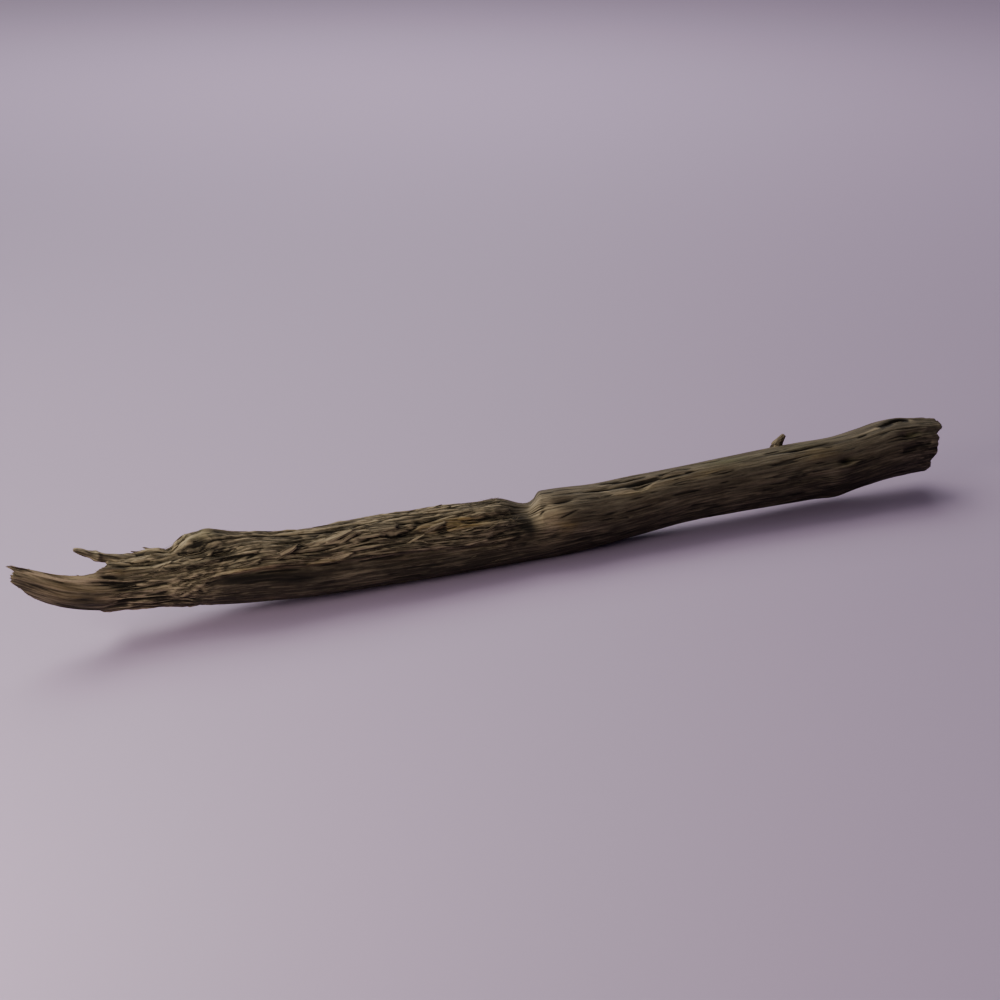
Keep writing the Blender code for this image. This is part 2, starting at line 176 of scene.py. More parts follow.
@dataclass(frozen=True)
class TrunkForm:
    """The shape of the trunk in grain coordinates, with the sizes of the part's source."""

    left: float = -1.165
    right: float = 1.370
    left_draw: float = 0.20
    right_draw: float = 0.12
    ground_sink: float = 0.004
    # distance along, height of the heart, radius
    bow: Table = (
        (-1.42, 0.230, 0.060), (-1.35, 0.195, 0.066), (-1.28, 0.162, 0.069), (-1.20, 0.141, 0.070),
        (-1.12, 0.131, 0.067), (-1.02, 0.125, 0.070), (-0.90, 0.124, 0.084), (-0.80, 0.120, 0.092),
        (-0.65, 0.104, 0.090), (-0.48, 0.100, 0.092), (-0.25, 0.094, 0.0925), (-0.07, 0.090, 0.091),
        (0.10, 0.091, 0.092), (0.24, 0.091, 0.086), (0.37, 0.099, 0.082), (0.50, 0.107, 0.078),
        (0.70, 0.111, 0.080), (0.90, 0.114, 0.085), (1.04, 0.117, 0.085), (1.13, 0.128, 0.086),
        (1.20, 0.137, 0.087), (1.27, 0.138, 0.084), (1.36, 0.134, 0.078), (1.42, 0.131, 0.074),
    )
    # angle round the trunk, where the outer wood ends along X
    left_rim: Table = (
        (-180, -1.118), (-150, -1.150), (-120, -1.132), (-95, -1.160), (-72, -1.176), (-58, -1.196),
        (-51, -1.240), (-46, -1.312), (-41, -1.352), (-33, -1.370), (-25, -1.380), (-15, -1.402),
        (-3, -1.403), (8, -1.396), (15, -1.386), (21, -1.402), (27, -1.410), (33, -1.350),
        (39, -1.236), (46, -1.200), (56, -1.182), (67, -1.163), (78, -1.156), (92, -1.150),
        (112, -1.142), (132, -1.116), (156, -1.126), (180, -1.118),
    )
    right_rim: Table = (
        (-180, 1.372), (-140, 1.338), (-100, 1.356), (-66, 1.344), (-40, 1.340), (-20, 1.326),
        (-10, 1.348), (20, 1.350), (30, 1.360), (42, 1.354), (55, 1.386), (80, 1.392), (98, 1.392),
        (118, 1.364), (140, 1.386), (165, 1.362), (180, 1.372),
    )
    shell_inner: float = 0.62
    shell_edge: float = 0.09
    heart_left: float = -1.118
    heart_right: float = 1.325
    heart_ragged: float = 0.016
    left_lumps: float = 3.1
    right_lumps: float = 2.7
    # where the rotted wood ends, the smooth flank starts and the right break starts, along
    rot_ends: tuple[float, float] = (-0.12, 0.02)
    flank_starts: tuple[float, float] = (-0.96, -0.88)
    break_starts: tuple[float, float] = (1.20, 1.36)
    # upper and lower edge of the flank, round the heart
    flank_top: tuple[float, float] = (2.0, -12.0)
    flank_bottom: tuple[float, float] = (-150.0, -110.0)
    flank_smoothness: float = 0.85
    break_roughness: float = 0.45
    # rounded swellings and hollows: along, angle, half length, half angle, height
    swelling_sizes: Table = (
        (-0.900, 108, 0.060, 34, 0.022), (-0.950, 100, 0.026, 30, 0.010), (-0.905, 79, 0.048, 9, 0.009),
        (-0.930, 62, 0.036, 8, -0.013), (-0.868, 54, 0.034, 8, -0.009), (-0.998, 108, 0.026, 34, -0.006),
        (-0.530, 50, 0.060, 12, 0.004), (0.095, 61, 0.036, 8, -0.006), (0.345, 59, 0.026, 7, -0.010),
        (1.022, 27, 0.024, 7, -0.017), (0.985, 2, 0.050, 17, 0.011), (1.010, -62, 0.048, 22, 0.007),
        (1.245, 92, 0.050, 16, 0.008), (1.248, 45, 0.022, 8, -0.012), (0.380, 170, 0.120, 30, 0.007),
        (-0.420, 178, 0.090, 24, -0.010),
    )
    # cracks and folds: along and angle of both ends, half angle, depth
    groove_sizes: Table = (
        (-1.160, 63, -0.985, 60, 6, 0.006), (-1.190, 22, -1.010, 12, 6, 0.006),
        (-0.450, 47, -0.350, 42, 6, 0.008), (-0.355, 58, -0.270, 70, 6, 0.007),
        (-0.720, 62, -0.560, 74, 6, 0.005), (0.190, 74, 0.520, 70, 6, 0.009),
        (0.760, 77, 1.000, 66, 5, 0.004), (1.215, 14, 1.330, 20, 6, 0.006),
        (0.620, 10, 1.180, 2, 6, 0.003), (-0.200, 140, 0.420, 128, 7, 0.008),
        (0.700, -160, 1.200, -150, 7, 0.006),
    )
    ledge_line: Table = (
        (-0.93, 11), (-0.83, 15), (-0.73, 18), (-0.60, 17), (-0.41, 15), (-0.18, 8), (-0.03, 7),
    )
    ledge_fade_in: float = 0.05
    ledge_fade_out: float = 0.28
    ledge_lip: float = 0.003
    ledge_depth: float = 0.011
    ledge_band: float = 34.0
    ledge_column: float = 15.0
    ledge_pull: float = 20.0
    notch_line: Table = ((-0.016, 5), (-0.012, 30), (-0.006, 64), (0.020, 92), (0.032, 112), (0.045, 150))
    notch_depth: Table = (
        (-8, 0.0), (8, 0.004), (30, 0.013), (60, 0.024), (90, 0.030), (120, 0.028), (165, 0.0),
    )
    notch_ramp: float = 0.105
    notch_wall: float = 0.036
    twist: float = 5.0
    coarse_furrows: Pattern = Pattern(0.050, 9.0)
    fine_furrows: Pattern = Pattern(0.024, 9.0, (9.4, 1.3))
    rough_relief: float = 0.0085
    sound_relief: float = 0.0042

    def heart(self, along: np.ndarray) -> tuple[np.ndarray, np.ndarray]:
        """Give the height of the heart and the radius at distances along."""
        return flowing(self.bow, along, 1) - self.ground_sink, flowing(self.bow, along, 2)

    def roughness(self, along: np.ndarray, angle: np.ndarray) -> np.ndarray:
        """Tell how rotted the wood is, from 0 to 1.

        Args:
            along: distances along.
            angle: angles round the heart.

        Returns:
            1 on the rough left half, low on the sound right half and on the flank.
        """
        rotted = 1.0 - smooth(*self.rot_ends, along)
        around = smooth(*self.flank_top, angle) * smooth(*self.flank_bottom, angle)
        flank = self.flank_smoothness * smooth(*self.flank_starts, along) * around
        return np.maximum(rotted * (1.0 - flank), self.break_roughness * smooth(*self.break_starts, along))

    def grain_noise(self, along: np.ndarray, column: np.ndarray, pattern: Pattern,
                    wander: np.ndarray | float = 0.0) -> np.ndarray:
        """Read random values that are drawn out along the grain.

        Args:
            along: distances along.
            column: grain lines, in degrees.
            pattern: their sizes.
            wander: sideways shift of the grain, in metres.

        Returns:
            Values between about -1 and 1.
        """
        turn = np.radians(column)
        radius = self.heart(along)[1]
        across = (radius * np.cos(turn) + wander) / pattern.width + pattern.offset[0]
        upward = (radius * np.sin(turn) + wander) / pattern.width + pattern.offset[1]
        return speckle(across, upward, along / (pattern.width * pattern.stretch))

    def furrows(self, along: np.ndarray, column: np.ndarray) -> np.ndarray:
        """Give the long ridges and furrows of the grain.

        Args:
            along: distances along.
            column: grain lines, in degrees.

        Returns:
            Heights in metres.
        """
        rough = self.roughness(along, wrapped(column))
        coarse = self.grain_noise(along, column, self.coarse_furrows)
        fine = self.grain_noise(along, column, self.fine_furrows)
        ridged = 0.75 - 2.2 * np.abs(fine)
        relief = self.sound_relief + (self.rough_relief - self.sound_relief) * rough
        return relief * (coarse + 0.55 * ((1.0 - rough) * fine * 1.4 + rough * ridged))

    def swellings(self, along: np.ndarray, angle: np.ndarray) -> np.ndarray:
        """Give the sum of the rounded swellings and hollows."""
        return soft_spots(self.swelling_sizes, along, angle)

    def grooves(self, along: np.ndarray, angle: np.ndarray) -> np.ndarray:
        """Give the depth of the cracks and folds, each tapering out at both ends.

        Args:
            along: distances along.
            angle: angles round the heart.

        Returns:
            Heights in metres, all below 0.
        """
        total = np.zeros_like(along)
        for start, start_angle, end, end_angle, half_angle, depth in self.groove_sizes:
            share = np.clip((along - start) / (end - start), 0.0, 1.0)
            aside = wrapped(angle - (start_angle + (end_angle - start_angle) * share)) / half_angle
            total -= depth * np.sqrt(np.maximum(0.0, np.sin(np.pi * share))) * np.exp(-aside * aside)
        return total

    def ledge_strength(self, along: np.ndarray) -> np.ndarray:
        """Tell how much of the ledge there is at distances along.

        Args:
            along: distances along.

        Returns:
            Shares from 0 to 1.
        """
        start, end = self.ledge_line[0][0], self.ledge_line[-1][0]
        fading = smooth(end, end - self.ledge_fade_out, along)
        return smooth(start - self.ledge_fade_in, start + self.ledge_fade_in, along) * fading

    def below_ledge(self, along: np.ndarray, angle: np.ndarray) -> np.ndarray:
        """Tell how many degrees below the ledge a place is."""
        return flowing(self.ledge_line, along) - wrapped(angle)

    def ledge(self, along: np.ndarray, angle: np.ndarray) -> np.ndarray:
        """Give the lip of the rough wood and the smooth band that is cut in under it.

        Args:
            along: distances along.
            angle: angles round the heart.

        Returns:
            Heights in metres.
        """
        below = self.below_ledge(along, angle)
        band = smooth(0.0, 5.0, below) * smooth(self.ledge_band, 5.0, below)
        under = self.ledge_lip * (1.0 - smooth(0.0, 4.0, below)) - self.ledge_depth * band
        over = self.ledge_lip * np.exp(np.minimum(below, 0.0) / 14.0)
        return np.where(below < 0.0, over, under) * self.ledge_strength(along)

    def beside_notch(self, along: np.ndarray, angle: np.ndarray) -> np.ndarray:
        """Tell how far right of the valley of the notch a place is."""
        return along - straight([(item[1], item[0]) for item in self.notch_line], wrapped(angle))

    def notch(self, along: np.ndarray, angle: np.ndarray) -> np.ndarray:
        """Give the cut across the top: a long slope on its left and a steep wall on its right.

        Args:
            along: distances along.
            angle: angles round the heart.

        Returns:
            Heights in metres, all below 0.
        """
        aside = self.beside_notch(along, angle)
        share = 1.0 - np.abs(aside) / np.where(aside < 0.0, self.notch_ramp, self.notch_wall)
        return -straight(self.notch_depth, wrapped(angle)) * smooth(0.0, 1.0, share)

    def grain_angle(self, along: np.ndarray, column: np.ndarray) -> np.ndarray:
        """Give the angle of a grain line, which turns slowly and follows the ledge.

        Args:
            along: distances along.
            column: grain lines, in degrees.

        Returns:
            Angles round the heart.
        """
        pull = bell(wrapped(column - self.ledge_column), 0.0, self.ledge_pull) * self.ledge_strength(along)
        led = flowing(self.ledge_line, along) - self.ledge_column - self.twist * along
        return column + self.twist * along + pull * led

    def reach(self, along: np.ndarray, column: np.ndarray, angle: np.ndarray) -> np.ndarray:
        """Give the distance of the surface from the heart."""
        relief = self.furrows(along, column) + self.swellings(along, angle) + self.grooves(along, angle)
        return self.heart(along)[1] + relief + self.ledge(along, angle) + self.notch(along, angle)

    def places(self, along: np.ndarray, column: np.ndarray, share: np.ndarray | float = 1.0,
               lift: np.ndarray | float = 0.0) -> np.ndarray:
        """Give places in the frame for points in grain coordinates.

        Args:
            along: distances along.
            column: grain lines, in degrees.
            share: shares of the radius.
            lift: heights above the plain surface, in metres.

        Returns:
            One row of X, Y and Z for each point.
        """
        angle = self.grain_angle(along, column)
        turn = np.radians(angle)
        height = self.heart(along)[0]
        distance = share * (self.reach(along, column, angle) + lift)
        upright = np.maximum(0.0, height + distance * np.sin(turn))
        return np.stack((along, -distance * np.cos(turn), upright), axis=-1) + FORM_TO_FRAME

    def left_tear(self, angle: np.ndarray, share: np.ndarray) -> np.ndarray:
        """Tell where the wood ends at the forked left end, for angles and shares of the radius.

        Args:
            angle: angles round the heart.
            share: shares of the radius.

        Returns:
            Distances along.
        """
        shell = smooth(self.shell_inner, self.shell_inner + self.shell_edge, share)
        turn = np.radians(angle)
        spread_out = share * self.left_lumps
        ragged = speckle(spread_out * np.cos(turn), spread_out * np.sin(turn), 5.0)
        inner = self.heart_left + self.heart_ragged * ragged - 0.02 * share
        return inner + (straight(self.left_rim, wrapped(angle)) - inner) * shell

    def right_tear(self, angle: np.ndarray, share: np.ndarray) -> np.ndarray:
        """Tell where the wood ends at the stepped right end, for angles and shares of the radius.

        Args:
            angle: angles round the heart.
            share: shares of the radius.

        Returns:
            Distances along.
        """
        turn = np.radians(angle)
        spread_out = share * self.right_lumps
        ragged = speckle(spread_out * np.cos(turn), spread_out * np.sin(turn), 11.0)
        inner = self.heart_right + 1.6 * self.heart_ragged * ragged
        return inner + (straight(self.right_rim, wrapped(angle)) - inner) * smooth(0.25, 0.95, share)

    def drawn_out(self, along: np.ndarray, angle: np.ndarray, share: np.ndarray) -> np.ndarray:
        """Draw the rows near a break out to the torn rim.

        Args:
            along: distances along.
            angle: angles round the heart.
            share: shares of the radius.

        Returns:
            The new distances along.
        """
        left = smooth(self.left + self.left_draw, self.left, along)
        right = smooth(self.right - self.right_draw, self.right, along)
        left_pull = left * (self.left_tear(angle, share) - self.left)
        return along + left_pull + right * (self.right_tear(angle, share) - self.right)


class Shade:
    """A socket of a node graph that takes part in sums as a number does."""

    def __init__(self, graph: "Graph", socket: bpy.types.NodeSocket) -> None:
        """Keep the graph and the socket."""
        self.graph = graph
        self.socket = socket

    def math(self, operation: str, *values: "Shade | float", clamp: bool = False) -> "Shade":
        """Add one Math node.

        Args:
            operation: what the node does.
            values: its values, in order.
            clamp: whether the result is held between 0 and 1.

        Returns:
            The result.
        """
        settings = {"operation": operation, "use_clamp": clamp}
        return self.graph.node("ShaderNodeMath", settings, dict(enumerate(values)))

    def __add__(self, other: "Shade | float") -> "Shade":
        """Add."""
        return self.math("ADD", self, other)

    def __sub__(self, other: "Shade | float") -> "Shade":
        """Take away."""
        return self.math("SUBTRACT", self, other)

    def __rsub__(self, other: "Shade | float") -> "Shade":
        """Take this away from a number."""
        return self.math("SUBTRACT", other, self)

    def __mul__(self, other: "Shade | float") -> "Shade":
        """Multiply."""
        return self.math("MULTIPLY", self, other)

    __radd__ = __add__
    __rmul__ = __mul__

    def held(self) -> "Shade":
        """Hold between 0 and 1."""
        return self.math("ADD", self, 0.0, clamp=True)

    def rise(self, low: float, high: float) -> "Shade":
        """Rise smoothly from 0 to 1 between two values.

        Args:
            low: value where the rise starts; it may be the larger one.
            high: value where it ends.

        Returns:
            The share.
        """
        if low > high:
            return 1.0 - self.rise(high, low)
        settings = {"interpolation_type": "SMOOTHSTEP"}
        return self.graph.node("ShaderNodeMapRange", settings, {0: self, 1: low, 2: high})


class Graph:
    """The node graph of one material."""

    def __init__(self, name: str) -> None:
        """Start a material with its shader and output.

        Args:
            name: its name.
        """
        self.material = bpy.data.materials.new(name)
        self.material.use_nodes = True
        self.tree = self.material.node_tree
        self.shader = self.tree.nodes["Principled BSDF"]

    def node(self, kind: str, settings: dict[str, object], values: dict[int | str, object],
             output: int | str = 0) -> Shade:
        """Add one node.

        Args:
            kind: the node's type.
            settings: its properties, set before its sockets.
            values: what each socket, by number or name, holds or is linked to.
            output: the socket that is handed back.

        Returns:
            That socket.
        """
        made = self.tree.nodes.new(kind)
        for name, value in settings.items():
            setattr(made, name, value)
        for socket, value in values.items():
            self.feed(made.inputs[socket], value)
        return Shade(self, made.outputs[output])

    def feed(self, socket: bpy.types.NodeSocket, value: object) -> None:
        """Link a shade to a socket, or set the socket to a value.

        Args:
            socket: the socket.
            value: a shade, or what the socket holds.
        """
        if isinstance(value, Shade):
            self.tree.links.new(value.socket, socket)
        else:
            socket.default_value = value

    def attribute(self, name: str, output: str = "Fac") -> Shade:
        """Read an attribute of the mesh."""
        return self.node("ShaderNodeAttribute", {"attribute_name": name}, {}, output)

    def blend(self, share: Shade | float, first: object, second: object, kind: str = "MIX") -> Shade:
        """Mix two colours.

        Args:
            share: how much of the second colour there is.
            first: a colour or a shade.
            second: a colour or a shade.
            kind: how they are mixed.

        Returns:
            The mixed colour.
        """
        settings = {"data_type": "RGBA", "blend_type": kind, "clamp_factor": True}
        return self.node("ShaderNodeMix", settings, {0: share, 6: first, 7: second}, 2)

    def stretched(self, place: Shade, stretch: float) -> Shade:
        """Press the grain coordinates together along the trunk, so a pattern comes out long."""
        values = {0: place, 1: (1.0 / stretch, 1.0, 1.0)}
        return self.node("ShaderNodeVectorMath", {"operation": "MULTIPLY"}, values)

    def cloud(self, place: Shade, scale: float, detail: float = 2.0, rough: float = 0.5,
              warp: float = 0.0) -> Shade:
        """Read a noise texture.

        Args:
            place: coordinates to read at.
            scale: repeats for each metre.
            detail: how many finer layers it has.
            rough: how strong those are.
            warp: how much it is bent.

        Returns:
            Values round 0.5.
        """
        values = {"Vector": place, "Scale": scale, "Detail": detail, "Roughness": rough, "Distortion": warp}
        return self.node("ShaderNodeTexNoise", {}, values)


Colour = tuple[float, float, float, float]


@dataclass(frozen=True)
class WeatheredWood:
    """Dry wood that has lain outdoors: painted shade in its hollows and underneath, pale on its torn fibres,
    and a painted highlight on its proud edges.
    """

    name: str = "weathered_wood"
    # nearly black: pores and checks, and the painted shade of crevices
    deep: Colour = (0.009, 0.0072, 0.0045, 1.0)
    # painted shade: the darker colour of the underside
    under: Colour = (0.036, 0.0285, 0.0185, 1.0)
    brown: Colour = (0.071, 0.053, 0.031, 1.0)
    # grey on top: partly weathering, partly painted light
    grey: Colour = (0.160, 0.134, 0.087, 1.0)
    # pale fibre, also painted on proud edges as a highlight
    fibre: Colour = (0.400, 0.322, 0.195, 1.0)
    yellow: Colour = (0.330, 0.225, 0.070, 1.0)
    moss: Colour = (0.120, 0.122, 0.048, 1.0)
    fleck_scale: float = 430.0
    line_scale: float = 205.0
    check_scale: float = 150.0
    streak_scale: float = 62.0
    patch_scale: float = 13.0
    bump_depth: float = 0.0038

    def build(self) -> bpy.types.Material:
        """Make the material.

        Returns:
            The finished material.
        """
        graph = Graph(self.name)
        grain = graph.attribute("grain", "Vector")
        hollow = graph.attribute("hollow")
        rot = graph.attribute("rot")
        sky = graph.attribute("sky")
        lines = graph.cloud(graph.stretched(grain, 22.0), self.line_scale, 4.0, 0.66, 0.2)
        flecks = graph.cloud(graph.stretched(grain, 5.0), self.fleck_scale, 2.0, 0.6)
        streaks = graph.cloud(graph.stretched(grain, 11.0), self.streak_scale, 4.0, 0.6, 0.4)
        seams = graph.cloud(graph.stretched(grain, 20.0), self.check_scale, 0.0, 0.5)
        patches = graph.cloud(grain, self.patch_scale, 3.0, 0.55)
        # painted shade darkens the underside and browns its sides; the grey top is partly weathering and partly
        # painted light
        colour = graph.blend((sky * 1.5 + rot * 0.45 + (streaks - 0.5) * 0.9).held(), self.under, self.brown)
        weathered_and_top_lit = (sky * 0.72 + (streaks - 0.5) * 2.4 + (patches - 0.5) * 1.3 - 0.06).held()
        colour = graph.blend(weathered_and_top_lit, colour, self.grey)
        # pale threads on proud and on torn wood; on proud edges this is partly a painted highlight
        threads = lines.rise(0.38, 0.64)
        proud = (hollow * 0.75 + threads * 1.15 + (streaks - 0.5) * 1.4 - 0.55) * (rot * 0.60 + 0.34)
        colour = graph.blend(proud.held(), colour, self.fibre)
        torn = (graph.attribute("pale") * (threads * 1.1 + 0.25)).held()
        colour = graph.blend(torn, colour, self.fibre)
        # stains
        stained = (graph.attribute("ochre") * (streaks.rise(0.36, 0.66) * 0.75 + 0.15)).held()
        colour = graph.blend(stained, colour, self.yellow)
        mossy = (graph.attribute("green") * (patches * 0.8 + streaks * 0.5)).held()
        colour = graph.blend(mossy, colour, self.moss)
        # short checks and pores are nearly black, and crevices and hollows get the same near-black as painted
        # shade
        checks = seams.rise(0.66, 0.74) * patches.rise(0.40, 0.56)
        colour = graph.blend(checks * 0.80, colour, self.deep)
        pores = (lines.rise(0.47, 0.33) * 0.75 + flecks.rise(0.43, 0.30) * 0.40) * (rot * 0.35 + 0.62)
        colour = graph.blend(pores.held(), colour, self.deep)
        colour = graph.blend(hollow.rise(0.10, -0.85) * 0.93, colour, self.deep)
        graph.feed(graph.shader.inputs["Base Color"], colour)
        gloss = 0.93 - (1.0 - rot) * 0.13 + (lines - 0.5) * 0.2
        graph.feed(graph.shader.inputs["Roughness"], gloss.held())
        graph.shader.inputs["Specular IOR Level"].default_value = 0.24
        relief = lines * 0.9 + flecks * 0.35 + streaks * (rot * 0.8 + 0.5) - checks * 0.5
        values = {"Strength": 1.0, "Distance": self.bump_depth, "Height": relief}
        graph.feed(graph.shader.inputs["Normal"], graph.node("ShaderNodeBump", {}, values, "Normal"))
        return graph.material


@dataclass(frozen=True)
class PaleFloor:
    """Plain matt studio paper."""

    name: str = "studio_paper"
    colour: Colour = (0.50, 0.385, 0.545, 1.0)

    def build(self) -> bpy.types.Material:
        """Make the material.

        Returns:
            The finished material.
        """
        graph = Graph(self.name)
        graph.shader.inputs["Base Color"].default_value = self.colour
        graph.shader.inputs["Roughness"].default_value = 0.6
        return graph.material


def set_attribute(mesh: bpy.types.Mesh, name: str, values: np.ndarray) -> None:
    """Write numbers or vectors for each point into an attribute of a mesh.

    Args:
        mesh: the mesh.
        name: the attribute's name.
        values: one number, or one row of three, for each point.
    """
    kind, item = ("FLOAT_VECTOR", "vector") if values.ndim == 2 else ("FLOAT", "value")
    mesh.attributes.new(name, kind, "POINT").data.foreach_set(item, values.astype(np.float32).ravel())


def kept_mesh(name: str, built: bmesh.types.BMesh) -> bpy.types.Mesh:
    """Keep a mesh that has been built.

    Args:
        name: its name.
        built: the mesh being built, which is freed.

    Returns:
        The kept mesh.
    """
    mesh = bpy.data.meshes.new(name)
    built.to_mesh(mesh)
    built.free()
    return mesh


def round_stick(name: str, sides: int, steps: int, low: Sequence[float] = (), high: Sequence[float] = (),
                mirrored: bool = False) -> bpy.types.Mesh:
    """Make a closed stick of unit radius along Z.

    Args:
        name: its mesh's name.
        sides: columns round it.
        steps: rows along it.
        low: shares of the radius where its low end is divided into rings.
        high: the same for its high end.
        mirrored: whether its points are then moved to mirrored places, so that its faces have to
            start out turned inward.

    Returns:
        Its mesh.
    """
    built = bmesh.new()
    bmesh.ops.create_cone(built, cap_ends=True, segments=sides, radius1=1.0, radius2=1.0, depth=1.0)
    uprights = [edge for edge in built.edges if abs(edge.verts[0].co.z - edge.verts[1].co.z) > 0.5]
    bmesh.ops.subdivide_edges(built, edges=uprights, cuts=steps - 1, use_grid_fill=True)
    caps = [face for face in built.faces if all(abs(abs(vertex.co.z) - 0.5) < LEVEL for vertex in face.verts)]
    caps.sort(key=lambda face: face.calc_center_median().z)
    apothem = math.cos(math.pi / sides)
    for cap, shares in zip(caps, (low, high)):
        for last, share in zip((1.0, *shares), shares):
            bmesh.ops.inset_individual(built, faces=[cap], thickness=(last - share) * apothem,
                                       use_even_offset=True)
        bmesh.ops.poke(built, faces=[cap])
    bmesh.ops.recalc_face_normals(built, faces=built.faces[:])
    if mirrored:
        bmesh.ops.reverse_faces(built, faces=built.faces[:])
    return kept_mesh(name, built)


def points_of(mesh: bpy.types.Mesh) -> np.ndarray:
    """Read the points of a mesh.

    Args:
        mesh: the mesh.

    Returns:
        One row of X, Y and Z for each point.
    """
    points = np.empty(len(mesh.vertices) * 3)
    mesh.vertices.foreach_get("co", points)
    return points.reshape(-1, 3)


def finished(name: str, mesh: bpy.types.Mesh, material: bpy.types.Material) -> bpy.types.Object:
    """Put a mesh in the scene as a piece of the trunk.

    Args:
        name: the piece's name.
        mesh: its mesh, in place.
        material: its finish.

    Returns:
        The piece.
    """
    mesh.materials.append(material)
    mesh.shade_smooth()
    piece = bpy.data.objects.new(name, mesh)
    bpy.context.scene.collection.objects.link(piece)
    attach(piece, BODY)
    return piece


def spread(values: np.ndarray, rows: int, columns: int) -> np.ndarray:
    """Average a grid over a window of rows and columns.

    Args:
        values: the grid.
        rows: rows on either side.
        columns: columns on either side; they run round the trunk.

    Returns:
        The averages.
    """
    total = sum(np.roll(values, step, axis=1) for step in range(-columns, columns + 1)) / (2 * columns + 1)
    padded = np.pad(total, ((rows, rows), (0, 0)), mode="edge")
    summed = np.cumsum(np.vstack((np.zeros((1, padded.shape[1])), padded)), axis=0)
    window = 2 * rows + 1
    return (summed[window:] - summed[:-window]) / window


